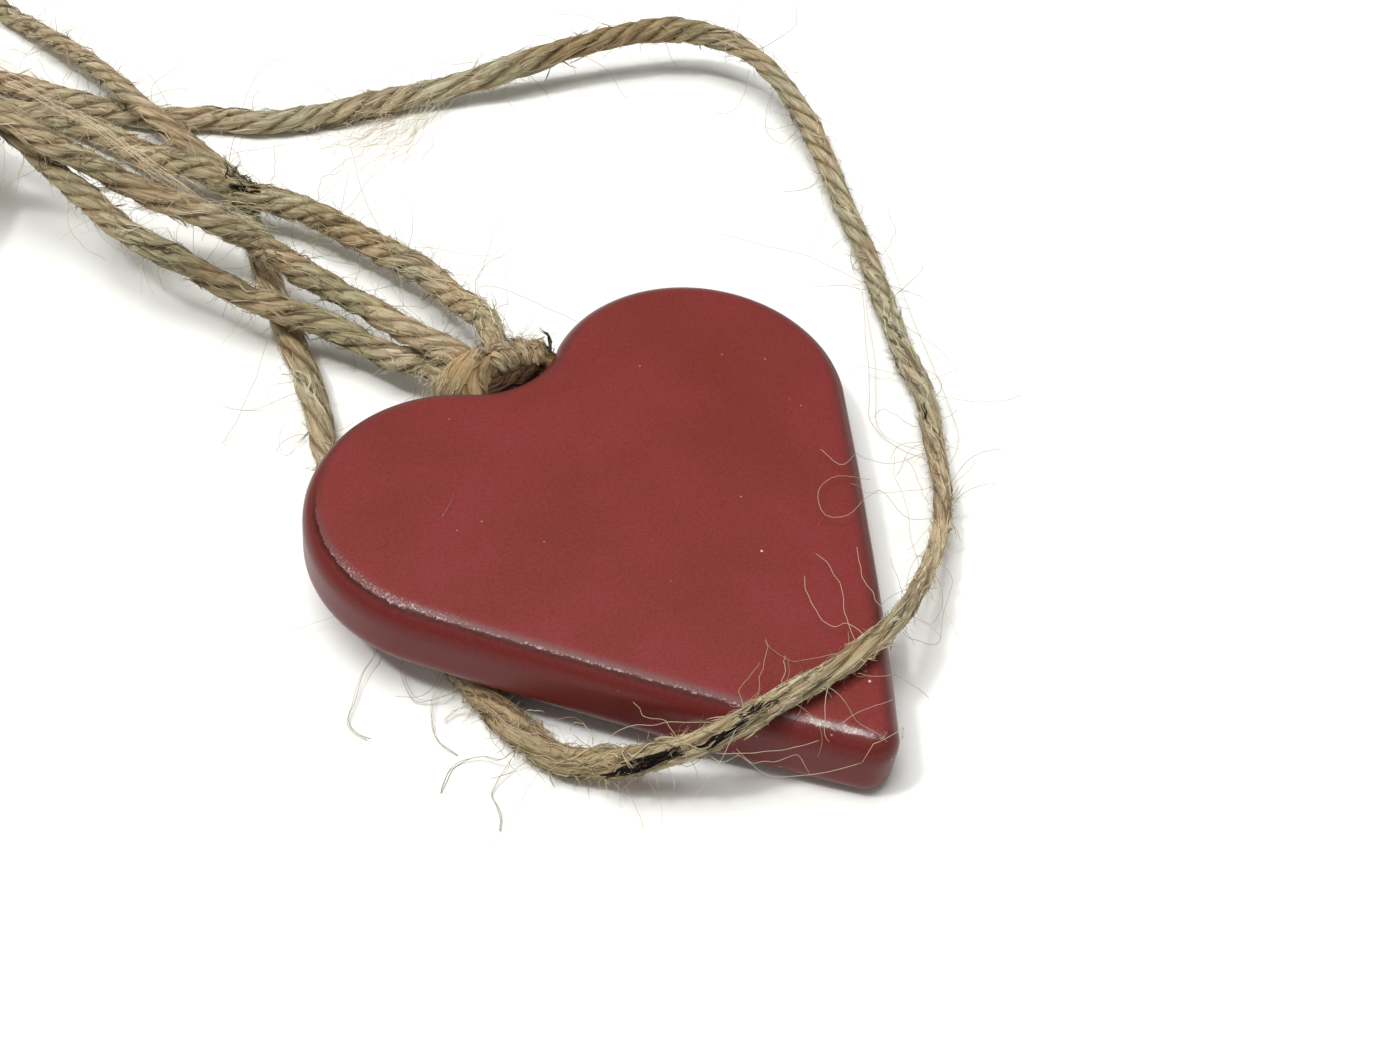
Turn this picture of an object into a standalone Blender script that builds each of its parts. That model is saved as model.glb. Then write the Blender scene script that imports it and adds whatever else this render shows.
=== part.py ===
"""A glazed ceramic heart tied on natural jute twine, as it lies on a table.

Metres, +Z up. The origin is on the table, under the middle of the heart's box, and the tip points along -Y.
The heart lies on its back. It rests on its right flank and tip, and its left lobe is propped by the twine.
The twine is one length: a short hanging loop, a lead that runs into a coil, and a run that comes out of the
coil, passes under the left lobe and over the tip, and comes back to the coil in a wide arc.
"""

import math

import bmesh
import bpy
from mathutils import Matrix, Vector

MM = 0.001

# The heart, cut from a slab of clay. Its outline is made of arcs that run smoothly into each other.
HEART_WIDTH = 62.0 * MM
HEART_LENGTH = 62.2 * MM
HEART_THICKNESS = 8.2 * MM
LOBE_RADIUS = 16.0 * MM
NOTCH_RADIUS = 9.3 * MM
FLANK_RADIUS = 668.0 * MM
TIP_RADIUS = 2.8 * MM
TOP_EDGE_RADIUS = 2.6 * MM
BACK_EDGE_RADIUS = 2.4 * MM

# The twine, and the room that a strand has in a hole or beside another piece.
TWINE_DIAMETER = 3.0 * MM
CLEARANCE = 0.3 * MM
CHANNEL_CLEARANCE = 0.35 * MM
STRAND_SPACING = 6.2 * MM

# How far the strand under the left lobe lies from the edge that the heart rests on.
PROP_LEVER = 39.0 * MM

# The knot is a ring of twine. One half runs in a curved channel in the clay, the other is the bar over the notch.
KNOT_WIDTH = 11.2 * MM
KNOT_DEPTH = 10.0 * MM
KNOT_STANDOFF = 4.4 * MM
KNOT_SHIFT = 0.4 * MM
BAR_RISE = 2.0 * MM
BAR_RADIUS = 2.2 * MM

# The coil, wound two strands wide and four high, and the thin tie that pulls its turns together at one place.
COIL_CENTRE = (-46.0 * MM, 108.0 * MM)
COIL_WIDTH = 35.2 * MM
COIL_COLUMNS = 2
COIL_LAYERS = 4
WINDING_GAP = 0.15 * MM
COIL_STEPS = 48
TIE_DIAMETER = 1.0 * MM
TIE_STEP = 32

# Routes of the free strands over the table, in millimetres, chosen by hand.
HANGING_LOOP_ROUTE = [
    (-2.4, 32.6, 9.4),
    (-2.5, 34.7, 9.2),
    (-2.8, 36.4, 8.8),
    (-3.6, 40.0, 8.3),
    (-4.2, 44.2, 7.6),
    (-4.8, 48.3, 7.3),
    (-5.8, 51.8, 7.2),
    (-7.8, 58.6, 7.6),
    (-9.7, 65.4, 8.5),
    (-12.7, 70.8, 9.8),
    (-15.3, 74.2, 11.0),
    (-17.8, 77.7, 12.7),
    (-20.3, 81.4, 14.5),
    (-22.7, 84.8, 16.2),
    (-24.4, 89.7, 17.6),
    (-27.5, 95.5, 17.3),
    (-32.0, 100.0, 15.8),
    (-39.0, 103.5, 14.0),
    (-48.0, 105.0, 13.8),
    (-56.5, 108.5, 14.5),
    (-60.5, 115.5, 14.5),
    (-57.0, 122.5, 14.5),
    (-49.0, 125.0, 14.5),
    (-40.0, 122.0, 14.5),
    (-33.0, 115.5, 14.5),
    (-28.3, 107.5, 14.5),
    (-25.0, 99.5, 14.4),
    (-23.5, 93.2, 14.0),
    (-22.5, 86.7, 12.5),
    (-22.0, 81.8, 11.6),
    (-21.2, 78.0, 10.9),
    (-20.6, 73.6, 10.1),
    (-19.1, 68.9, 9.4),
    (-17.0, 64.6, 8.4),
    (-13.8, 57.4, 6.8),
    (-8.8, 49.9, 5.4),
    (-5.9, 42.1, 4.9),
    (-4.3, 39.4, 5.0),
    (-3.4, 37.0, 5.4),
    (-3.9, 34.6, 6.0),
    (-4.9, 32.9, 6.5),
]
LEAD_ROUTE = [
    (1.8, 33.1, 9.6),
    (2.8, 35.0, 9.2),
    (3.9, 37.9, 8.2),
    (4.1, 40.7, 7.2),
    (4.2, 44.7, 6.2),
    (4.5, 52.0, 5.0),
    (3.6, 56.1, 4.6),
    (1.7, 63.2, 4.6),
    (0.6, 66.7, 4.8),
    (-1.8, 71.2, 5.0),
    (-3.7, 73.9, 5.2),
    (-4.7, 77.6, 5.2),
    (-5.6, 81.9, 4.9),
    (-7.0, 85.6, 4.2),
    (-8.5, 89.0, 3.5),
    (-9.4, 93.6, 3.0),
    (-11.0, 100.0, 2.2),
    (-13.4, 105.6, 1.8),
    (-17.6, 110.8, 1.6),
    (-25.2, 117.2, 1.6),
]
RUN_ROUTE = [
    (-23.4, 114.5, 8.9),
    (-22.5, 121.5, 7.0),
    (-22.3, 128.5, 4.6),
    (-20.9, 135.5, 2.6),
    (-16.6, 140.7, 1.7),
    (-10.8, 140.0, 1.7),
    (-7.7, 134.4, 1.6),
    (-7.6, 128.1, 1.7),
    (-6.5, 120.4, 2.4),
    (-5.6, 111.3, 3.8),
    (-5.4, 101.2, 5.0),
    (-5.0, 93.2, 5.0),
    (-3.6, 86.5, 3.6),
    (-2.7, 81.9, 2.3),
    (-3.3, 77.7, 1.7),
    (-4.4, 73.9, 1.6),
    (-6.6, 67.7, 1.6),
    (-9.2, 60.5, 1.6),
    (-11.4, 54.0, 1.6),
    (-13.2, 48.0, 1.6),
    (-15.4, 42.4, 1.6),
    (-17.6, 37.6, 1.6),
    (-20.0, 30.5, 1.6),
    (-21.8, 23.0, 1.6),
    (-22.9, 15.0, 1.6),
    (-23.4, 8.5, 1.6),
    (-23.4, 2.0, 1.6),
    (-23.3, -4.5, 1.6),
    (-22.2, -10.0, 2.0),
    (-19.7, -13.8, 3.4),
    (-17.1, -17.1, 5.8),
    (-13.5, -20.4, 8.8),
    (-10.4, -21.7, 10.4),
    (-5.5, -22.3, 10.9),
    (-0.3, -22.6, 10.6),
    (4.6, -22.4, 10.35),
    (8.9, -21.6, 9.5),
    (14.5, -19.0, 7.2),
    (21.0, -15.3, 5.0),
    (26.2, -11.5, 3.4),
    (31.2, -6.2, 2.3),
    (34.6, -1.6, 1.8),
    (38.2, 3.5, 1.6),
    (41.0, 9.5, 1.6),
    (44.3, 15.9, 1.6),
    (49.0, 24.6, 1.7),
    (52.6, 32.4, 2.0),
    (55.7, 39.2, 2.7),
    (58.3, 46.3, 3.9),
    (59.6, 52.7, 5.0),
    (59.5, 58.0, 5.8),
    (58.0, 62.9, 6.2),
    (54.4, 67.3, 6.3),
    (47.6, 71.3, 5.8),
    (41.8, 73.8, 5.0),
    (36.3, 75.9, 3.9),
    (30.4, 78.2, 2.8),
    (23.3, 81.6, 1.8),
    (16.3, 84.2, 1.6),
    (10.9, 86.2, 1.6),
    (6.6, 88.6, 1.6),
    (2.4, 92.6, 1.6),
    (-2.2, 96.4, 1.6),
    (-5.2, 99.5, 1.6),
    (-8.6, 104.3, 1.6),
    (-11.2, 109.4, 1.6),
    (-14.8, 115.6, 1.6),
    (-19.5, 121.8, 1.6),
    (-25.5, 127.5, 1.6),
    (-31.5, 131.3, 1.6),
]


def clear_scene():
    for old in list(bpy.data.objects):
        bpy.data.objects.remove(old, do_unlink=True)


def material(name, color, roughness):
    made = bpy.data.materials.new(name)
    made.use_nodes = True
    shader = made.node_tree.nodes["Principled BSDF"]
    shader.inputs["Base Color"].default_value = (*color, 1.0)
    shader.inputs["Roughness"].default_value = roughness
    shader.inputs["Metallic"].default_value = 0.0
    return made


def add_object(name, data, look):
    made = bpy.data.objects.new(name, data)
    bpy.context.scene.collection.objects.link(made)
    data.materials.append(look)
    return made


def arc(centre, radius, start, end, steps):
    """Points on an arc, without its last one."""
    angles = [start + (end - start) * i / steps for i in range(steps)]
    return [
        Vector((centre.x + radius * math.cos(a), centre.y + radius * math.sin(a)))
        for a in angles
    ]


def lobe_centre():
    return Vector((HEART_WIDTH / 2 - LOBE_RADIUS, HEART_LENGTH / 2 - LOBE_RADIUS))


def tip_centre():
    return Vector((0.0, TIP_RADIUS - HEART_LENGTH / 2))


def notch_centre():
    lobe = lobe_centre()
    rise = math.sqrt((LOBE_RADIUS + NOTCH_RADIUS) ** 2 - lobe.x**2)
    return Vector((0.0, lobe.y + rise))


def flank_centre():
    """The centre of the long arc that touches the lobe and the tip from outside."""
    lobe, tip = lobe_centre(), tip_centre()
    to_lobe, to_tip = FLANK_RADIUS - LOBE_RADIUS, FLANK_RADIUS - TIP_RADIUS
    between = (lobe - tip).length
    along = (to_tip**2 - to_lobe**2 + between**2) / (2 * between)
    across = math.sqrt(to_tip**2 - along**2)
    forward = (lobe - tip) / between
    leftward = Vector((-forward.y, forward.x))
    return tip + forward * along + leftward * across


def heart_outline(inset):
    """The heart's outline, counter-clockwise and taken in by a distance.

    Every arc keeps its centre, so only the radii change.
    """
    lobe, tip, notch, flank = lobe_centre(), tip_centre(), notch_centre(), flank_centre()
    flank_start = math.atan2(tip.y - flank.y, tip.x - flank.x)
    flank_end = math.atan2(lobe.y - flank.y, lobe.x - flank.x)
    lobe_end = math.atan2(notch.y - lobe.y, notch.x - lobe.x)
    notch_start = lobe_end - math.pi
    right = arc(tip, TIP_RADIUS - inset, -math.pi / 2, flank_start, 5)
    right += arc(flank, FLANK_RADIUS - inset, flank_start, flank_end, 6)
    right += arc(lobe, LOBE_RADIUS - inset, flank_end, lobe_end, 22)
    right += arc(notch, NOTCH_RADIUS + inset, notch_start, -math.pi / 2, 6)
    bottom_of_notch = Vector((0.0, notch.y - NOTCH_RADIUS - inset))
    left = [Vector((-p.x, p.y)) for p in reversed(right[1:])]
    return right + [bottom_of_notch] + left


def edge_profile():
    """The heart's edge in section, from the back to the top, as (inset, height)."""
    steps = 4
    back, top = BACK_EDGE_RADIUS, TOP_EDGE_RADIUS
    turns = [math.pi / 2 * i / steps for i in range(steps + 1)]
    section = [(back * (1 - math.sin(a)), back * (1 - math.cos(a))) for a in turns]
    section += [
        (top * (1 - math.cos(a)), HEART_THICKNESS - top * (1 - math.sin(a))) for a in turns
    ]
    return section


def skin(name, rings, closed_ends):
    """A mesh over rings of points that all have the same number of points."""
    mesh = bmesh.new()
    rows = [[mesh.verts.new(p) for p in ring] for ring in rings]
    pairs = list(zip(rows, rows[1:]))
    if not closed_ends:
        pairs.append((rows[-1], rows[0]))
    count = len(rows[0])
    for low, high in pairs:
        for i in range(count):
            j = (i + 1) % count
            mesh.faces.new((low[i], low[j], high[j], high[i]))
    if closed_ends:
        mesh.faces.new(list(reversed(rows[0])))
        mesh.faces.new(rows[-1])
    bmesh.ops.recalc_face_normals(mesh, faces=mesh.faces)
    made = bpy.data.meshes.new(name)
    mesh.to_mesh(made)
    mesh.free()
    made.shade_smooth()
    made.set_sharp_from_angle(angle=math.radians(35))
    return made


def heart_mesh():
    rings = []
    for inset, height in edge_profile():
        rings.append([(p.x, p.y, height) for p in heart_outline(inset)])
    return skin("heart", rings, True)


def notch_bottom():
    return notch_centre().y - NOTCH_RADIUS


def knot_point(angle):
    """The middle of the knot's ring: angle 90 degrees is the bar, 270 degrees is deep in the clay."""
    centre_y = notch_bottom() + KNOT_STANDOFF - KNOT_DEPTH / 2
    across = KNOT_SHIFT + KNOT_WIDTH / 2 * math.cos(angle)
    along = centre_y + KNOT_DEPTH / 2 * math.sin(angle)
    height = HEART_THICKNESS / 2 + BAR_RISE * max(0.0, math.sin(angle))
    return Vector((across, along, height))


def bar_share(angle):
    """0 where the knot is a single strand in the clay, 1 along the bar."""
    share = (math.sin(angle) - 0.55) / 0.35
    share = min(1.0, max(0.0, share))
    return share * share * (3 - 2 * share)


def ring_mesh(name, radius_at, steps, sides):
    """A closed ring along the knot's route, with a radius that depends on the place."""
    rings = []
    for i in range(steps):
        angle = 2 * math.pi * i / steps
        ahead = knot_point(angle + 0.02) - knot_point(angle - 0.02)
        ahead.normalize()
        outward = Vector((0.0, 0.0, 1.0)).cross(ahead).normalized()
        upward = ahead.cross(outward)
        radius = radius_at(angle)
        ring = []
        for k in range(sides):
            turn = 2 * math.pi * k / sides
            side = outward * math.cos(turn) + upward * math.sin(turn)
            ring.append(knot_point(angle) + side * radius)
        rings.append(ring)
    return skin(name, rings, False)


def knot_radius(angle):
    strand = TWINE_DIAMETER / 2
    return strand + (BAR_RADIUS - strand) * bar_share(angle)


def channel_radius(angle):
    return TWINE_DIAMETER / 2 + CHANNEL_CLEARANCE


def resting_normal():
    """The outward direction, in plan, of the edge that the heart rests on.

    It is square to the line that touches the flat of the back at the tip and at the right lobe.
    """
    lobe, tip = lobe_centre(), tip_centre()
    between = lobe - tip
    closer = (TIP_RADIUS - LOBE_RADIUS) / between.length
    turn = -math.acos(closer)
    forward = between.normalized()
    x = forward.x * math.cos(turn) - forward.y * math.sin(turn)
    y = forward.x * math.sin(turn) + forward.y * math.cos(turn)
    return Vector((x, y))


def heart_tilt():
    lift = TWINE_DIAMETER + 2 * CLEARANCE
    outward = resting_normal()
    axis = Vector((-outward.y, outward.x, 0.0))
    return Matrix.Rotation(math.asin(lift / PROP_LEVER), 4, axis)


def stand_on_table(rig, mesh):
    """Tilts the rig and sets the mesh's box on the table, centred on the origin."""
    tilt = heart_tilt()
    points = [tilt @ v.co for v in mesh.vertices]
    low = [min(p[k] for p in points) for k in range(3)]
    high = [max(p[k] for p in points) for k in range(3)]
    rig.location = (-(low[0] + high[0]) / 2, -(low[1] + high[1]) / 2, -low[2])
    rig.rotation_euler = tilt.to_euler()


def smooth_route(points, spacing):
    """Points about a spacing apart on a smooth curve through the route's own points."""
    route = [Vector(p) * MM for p in points]
    padded = [2 * route[0] - route[1]] + route + [2 * route[-1] - route[-2]]
    fine = [route[0]]
    pieces = 12
    for before, start, end, after in zip(padded, padded[1:], padded[2:], padded[3:]):
        knots = [0.0]
        for a, b in ((before, start), (start, end), (end, after)):
            knots.append(knots[-1] + math.sqrt((b - a).length))
        for i in range(1, pieces + 1):
            t = knots[1] + (knots[2] - knots[1]) * i / pieces
            fine.append(curve_point((before, start, end, after), knots, t))
    lengths = [0.0]
    for a, b in zip(fine, fine[1:]):
        lengths.append(lengths[-1] + (b - a).length)
    count = math.ceil(lengths[-1] / spacing)
    spaced, place = [], 0
    for i in range(count + 1):
        wanted = lengths[-1] * i / count
        while place < len(fine) - 2 and lengths[place + 1] < wanted:
            place += 1
        share = (wanted - lengths[place]) / (lengths[place + 1] - lengths[place])
        spaced.append(fine[place].lerp(fine[place + 1], share))
    return spaced


def curve_point(points, knots, t):
    """A point of the centripetal curve between the second and third of four points."""
    level = list(points)
    for width in (1, 2):
        level = [
            level[i].lerp(level[i + 1], (t - knots[i]) / (knots[i + width] - knots[i]))
            for i in range(len(level) - 1)
        ]
    return level[0].lerp(level[1], (t - knots[1]) / (knots[2] - knots[1]))


def strand(name, route, look):
    """A plain tube of twine along a route."""
    curve = bpy.data.curves.new(name, "CURVE")
    curve.dimensions = "3D"
    curve.bevel_mode = "ROUND"
    curve.bevel_depth = TWINE_DIAMETER / 2
    curve.bevel_resolution = 2
    curve.use_fill_caps = True
    points = smooth_route(route, STRAND_SPACING)
    spline = curve.splines.new("POLY")
    spline.points.add(len(points) - 1)
    for made, wanted in zip(spline.points, points):
        made.co = (*wanted, 1.0)
    return add_object(name, curve, look)


def coil_section(squeeze):
    """The coil's section with rounded corners, as (from the middle of the winding, height)."""
    pitch = TWINE_DIAMETER + WINDING_GAP
    corner = TWINE_DIAMETER / 2
    half_width = COIL_COLUMNS * pitch / 2 - squeeze
    low, high = squeeze, COIL_LAYERS * pitch - squeeze
    corners = [
        (half_width - corner, low + corner),
        (half_width - corner, high - corner),
        (corner - half_width, high - corner),
        (corner - half_width, low + corner),
    ]
    section = []
    for quarter, (x, z) in enumerate(corners):
        for i in range(4):
            angle = -math.pi / 2 + math.pi / 2 * (quarter + i / 3)
            section.append((x + corner * math.cos(angle), z + corner * math.sin(angle)))
    return section


def around_coil(section, angle):
    """Places points of a section at one angle of the coil."""
    ring = []
    for x, z in section:
        radius = COIL_WIDTH / 2 + x
        across = COIL_CENTRE[0] + radius * math.cos(angle)
        along = COIL_CENTRE[1] + radius * math.sin(angle)
        ring.append(Vector((across, along, z)))
    return ring


def coil_mesh():
    """The outer shape of the coil: a ring standing on the table, with a waist under the tie."""
    rings = []
    for step in range(COIL_STEPS):
        waist = min(1.0, max(0.0, 2.0 - abs(step - TIE_STEP)))
        squeeze = (TIE_DIAMETER + CLEARANCE) * waist
        rings.append(around_coil(coil_section(squeeze), 2 * math.pi * step / COIL_STEPS))
    return skin("coil", rings, False)


def tie_mesh():
    """A thin strand around the coil's waist, as high as the coil and no lower than the table."""
    angle = 2 * math.pi * TIE_STEP / COIL_STEPS
    turnwise = Vector((-math.sin(angle), math.cos(angle), 0.0))
    path = around_coil(coil_section(TIE_DIAMETER / 2), angle)
    rings = []
    for before, place, after in zip(path[-1:] + path, path, path[1:] + path[:1]):
        outward = (after - before).normalized().cross(turnwise)
        ring = []
        for k in range(8):
            turn = 2 * math.pi * k / 8
            side = outward * math.cos(turn) + turnwise * math.sin(turn)
            ring.append(place + side * TIE_DIAMETER / 2)
        rings.append(ring)
    return skin("coil_tie", rings, False)


def build():
    clear_scene()
    glaze = material("red_glaze", (0.235, 0.040, 0.042), 0.42)
    jute = material("jute", (0.40, 0.29, 0.17), 0.90)
    wound_jute = material("wound_jute", (0.37, 0.27, 0.16), 0.90)
    knotted_jute = material("knotted_jute", (0.44, 0.31, 0.17), 0.85)
    lead_jute = material("lead_jute", (0.38, 0.28, 0.17), 0.90)
    run_jute = material("run_jute", (0.39, 0.30, 0.18), 0.90)
    tie_jute = material("tie_jute", (0.36, 0.26, 0.15), 0.90)

    rig = bpy.data.objects.new("heart_pose", None)
    bpy.context.scene.collection.objects.link(rig)
    heart = add_object("heart", heart_mesh(), glaze)
    stand_on_table(rig, heart.data)

    channel = add_object("channel", ring_mesh("channel", channel_radius, 40, 12), glaze)
    channel.hide_render = True
    channel.display_type = "WIRE"
    cut = heart.modifiers.new("channel", "BOOLEAN")
    cut.operation = "DIFFERENCE"
    cut.object = channel
    cut.solver = "EXACT"
    knot = add_object("knot", ring_mesh("knot", knot_radius, 40, 10), knotted_jute)
    for piece in (heart, channel, knot):
        piece.parent = rig

    strand("hanging_loop", HANGING_LOOP_ROUTE, jute)
    strand("lead", LEAD_ROUTE, lead_jute)
    strand("run", RUN_ROUTE, run_jute)
    add_object("coil", coil_mesh(), wound_jute)
    add_object("coil_tie", tie_mesh(), tie_jute)


build()
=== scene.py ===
# %% [markdown]
# # A ceramic heart on jute twine
# A small glazed heart lies on a white table. Jute twine is tied through its notch, and the loose twine lies
# over and under it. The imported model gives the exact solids; this script gives each of them its looks.
# Everything is in metres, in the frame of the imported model. The heart's box stands on the origin.

import math

import bpy
import numpy as np
from mathutils import Matrix, Vector


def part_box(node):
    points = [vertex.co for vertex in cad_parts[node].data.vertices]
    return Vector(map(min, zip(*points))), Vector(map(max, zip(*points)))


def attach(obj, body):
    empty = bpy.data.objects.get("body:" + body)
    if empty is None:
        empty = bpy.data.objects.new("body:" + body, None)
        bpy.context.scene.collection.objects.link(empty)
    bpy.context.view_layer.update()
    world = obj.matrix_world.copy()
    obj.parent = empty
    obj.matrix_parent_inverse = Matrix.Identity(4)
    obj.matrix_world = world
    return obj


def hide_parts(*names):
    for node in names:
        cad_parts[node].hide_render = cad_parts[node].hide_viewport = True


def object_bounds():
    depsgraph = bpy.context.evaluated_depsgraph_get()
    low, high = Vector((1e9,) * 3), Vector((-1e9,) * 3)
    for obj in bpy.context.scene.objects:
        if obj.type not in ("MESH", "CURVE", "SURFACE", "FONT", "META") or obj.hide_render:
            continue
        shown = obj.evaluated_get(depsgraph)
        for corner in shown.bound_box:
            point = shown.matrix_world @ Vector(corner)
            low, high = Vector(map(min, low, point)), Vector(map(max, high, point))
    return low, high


MM = 0.001
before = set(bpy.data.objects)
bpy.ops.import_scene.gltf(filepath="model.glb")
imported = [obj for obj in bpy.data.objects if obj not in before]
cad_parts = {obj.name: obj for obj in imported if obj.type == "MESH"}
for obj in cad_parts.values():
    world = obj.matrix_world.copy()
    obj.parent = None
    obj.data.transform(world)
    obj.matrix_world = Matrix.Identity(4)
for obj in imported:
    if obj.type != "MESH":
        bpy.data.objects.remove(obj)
cad_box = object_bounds()
print("solids:", sorted(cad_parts))

# %% [markdown]
# ## The camera
# The picture was taken from the lower left of the heart, looking down at about 49 degrees, and so close
# that the tip looks larger than the lobes. A lens of 54 mm at 22 cm gives the same converging edges. The
# camera comes first, because it decides how much of the twine is seen.

# %% Camera
CAMERA_AIM = Vector((7.845, 5.592, 0.0)) * MM
CAMERA_DISTANCE = 220.6 * MM
CAMERA_AZIMUTH = -41.58
CAMERA_ELEVATION = 49.29
CAMERA_ROLL = 2.34
LENS_MM = 54.0
SENSOR_MM = 36.0
NEAREST_SEEN = 5.0 * MM


def turn(degrees, axis):
    return Matrix.Rotation(math.radians(degrees), 3, axis)


def make_camera():
    facing = turn(CAMERA_AZIMUTH, "Z") @ turn(90 - CAMERA_ELEVATION, "X") @ turn(CAMERA_ROLL, "Z")
    lens = bpy.data.cameras.new("photo_camera")
    lens.lens = LENS_MM
    lens.sensor_width = SENSOR_MM
    lens.clip_start = NEAREST_SEEN
    camera = bpy.data.objects.new("photo_camera", lens)
    camera.rotation_euler = facing.to_euler()
    camera.location = CAMERA_AIM + facing.col[2] * CAMERA_DISTANCE
    bpy.context.scene.collection.objects.link(camera)
    bpy.context.scene.camera = camera
    return camera


camera = make_camera()
print("camera stands at", [round(v * 1000) for v in camera.location], "mm")

# %% [markdown]
# ## Where the twine runs
# The twine is a soft cord of 3 mm. Its free stretches are laid over the table through listed points, the
# same as the tubes of the imported model: a loop, a lead from the knot, and a run under the lobe and over
# the tip. A curve through these points keeps the small kinks that real twine has. A physics
# simulation would settle it too smoothly, and would lose the crossings.

# %% Routes, in millimetres
TWINE_DIAMETER = 3.0 * MM
HANGING_LOOP_ROUTE = [
    (-2.4, 32.6, 9.4), (-2.5, 34.7, 9.2), (-2.8, 36.4, 8.8), (-3.6, 40.0, 8.3), (-4.2, 44.2, 7.6),
    (-4.8, 48.3, 7.3), (-5.8, 51.8, 7.2), (-7.8, 58.6, 7.6), (-9.7, 65.4, 8.5), (-12.7, 70.8, 9.8),
    (-15.3, 74.2, 11.0), (-17.8, 77.7, 12.7), (-20.3, 81.4, 14.5), (-22.7, 84.8, 16.2), (-24.4, 89.7, 17.6),
    (-27.5, 95.5, 17.3), (-32.0, 100.0, 15.8), (-39.0, 103.5, 14.0), (-48.0, 105.0, 13.8),
    (-56.5, 108.5, 14.5), (-60.5, 115.5, 14.5), (-57.0, 122.5, 14.5), (-49.0, 125.0, 14.5),
    (-40.0, 122.0, 14.5), (-33.0, 115.5, 14.5), (-28.3, 107.5, 14.5), (-25.0, 99.5, 14.4),
    (-23.5, 93.2, 14.0), (-22.5, 86.7, 12.5), (-22.0, 81.8, 11.6), (-21.2, 78.0, 10.9), (-20.6, 73.6, 10.1),
    (-19.1, 68.9, 9.4), (-17.0, 64.6, 8.4), (-13.8, 57.4, 6.8), (-8.8, 49.9, 5.4), (-5.9, 42.1, 4.9),
    (-4.3, 39.4, 5.0), (-3.4, 37.0, 5.4), (-3.9, 34.6, 6.0), (-4.9, 32.9, 6.5),
]
LEAD_ROUTE = [
    (1.8, 33.1, 9.6), (2.8, 35.0, 9.2), (3.9, 37.9, 8.2), (4.1, 40.7, 7.2), (4.2, 44.7, 6.2),
    (4.5, 52.0, 5.0), (3.6, 56.1, 4.6), (1.7, 63.2, 4.6), (0.6, 66.7, 4.8), (-1.8, 71.2, 5.0),
    (-3.7, 73.9, 5.2), (-4.7, 77.6, 5.2), (-5.6, 81.9, 4.9), (-7.0, 85.6, 4.2), (-8.5, 89.0, 3.5),
    (-9.4, 93.6, 3.0), (-11.0, 100.0, 2.2), (-13.4, 105.6, 1.8), (-17.6, 110.8, 1.6), (-25.2, 117.2, 1.6),
]
RUN_ROUTE = [
    (-23.4, 114.5, 8.9), (-22.5, 121.5, 7.0), (-22.3, 128.5, 4.6), (-20.9, 135.5, 2.6),
    (-16.6, 140.7, 1.7), (-10.8, 140.0, 1.7), (-7.7, 134.4, 1.6), (-7.6, 128.1, 1.7), (-6.5, 120.4, 2.4),
    (-5.6, 111.3, 3.8), (-5.4, 101.2, 5.0), (-5.0, 93.2, 5.0), (-3.6, 86.5, 3.6), (-2.7, 81.9, 2.3),
    (-3.3, 77.7, 1.7), (-4.4, 73.9, 1.6), (-6.6, 67.7, 1.6), (-9.2, 60.5, 1.6), (-11.4, 54.0, 1.6),
    (-13.2, 48.0, 1.6), (-15.4, 42.4, 1.6), (-17.6, 37.6, 1.6), (-20.0, 30.5, 1.6), (-21.8, 23.0, 1.6),
    (-22.9, 15.0, 1.6), (-23.4, 8.5, 1.6), (-23.4, 2.0, 1.6), (-23.3, -4.5, 1.6), (-22.2, -10.0, 2.0),
    (-19.7, -13.8, 3.4), (-17.1, -17.1, 5.8), (-13.5, -20.4, 8.8), (-10.4, -21.7, 10.4),
    (-5.5, -22.3, 10.9), (-0.3, -22.6, 10.6), (4.6, -22.4, 10.35), (8.9, -21.6, 9.5), (14.5, -19.0, 7.2),
    (21.0, -15.3, 5.0), (26.2, -11.5, 3.4), (31.2, -6.2, 2.3), (34.6, -1.6, 1.8), (38.2, 3.5, 1.6),
    (41.0, 9.5, 1.6), (44.3, 15.9, 1.6), (49.0, 24.6, 1.7), (52.6, 32.4, 2.0), (55.7, 39.2, 2.7),
    (58.3, 46.3, 3.9), (59.6, 52.7, 5.0), (59.5, 58.0, 5.8), (58.0, 62.9, 6.2), (54.4, 67.3, 6.3),
    (47.6, 71.3, 5.8), (41.8, 73.8, 5.0), (36.3, 75.9, 3.9), (30.4, 78.2, 2.8), (23.3, 81.6, 1.8),
    (16.3, 84.2, 1.6), (10.9, 86.2, 1.6), (6.6, 88.6, 1.6), (2.4, 92.6, 1.6), (-2.2, 96.4, 1.6),
    (-5.2, 99.5, 1.6), (-8.6, 104.3, 1.6), (-11.2, 109.4, 1.6), (-14.8, 115.6, 1.6), (-19.5, 121.8, 1.6),
    (-25.5, 127.5, 1.6), (-31.5, 131.3, 1.6),
]
print("hand-laid points:", len(HANGING_LOOP_ROUTE) + len(LEAD_ROUTE) + len(RUN_ROUTE))

# %% [markdown]
# ## The coil
# Most of the line isn't in the picture. It is wound up as one would store it, in eight turns, two side by
# side and four high, just past the edge where the twine leaves the view. A loop works out the turns: each
# stays in its place for most of the way round, then slips over to the next place. A thin tie pulls the
# turns together.

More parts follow.
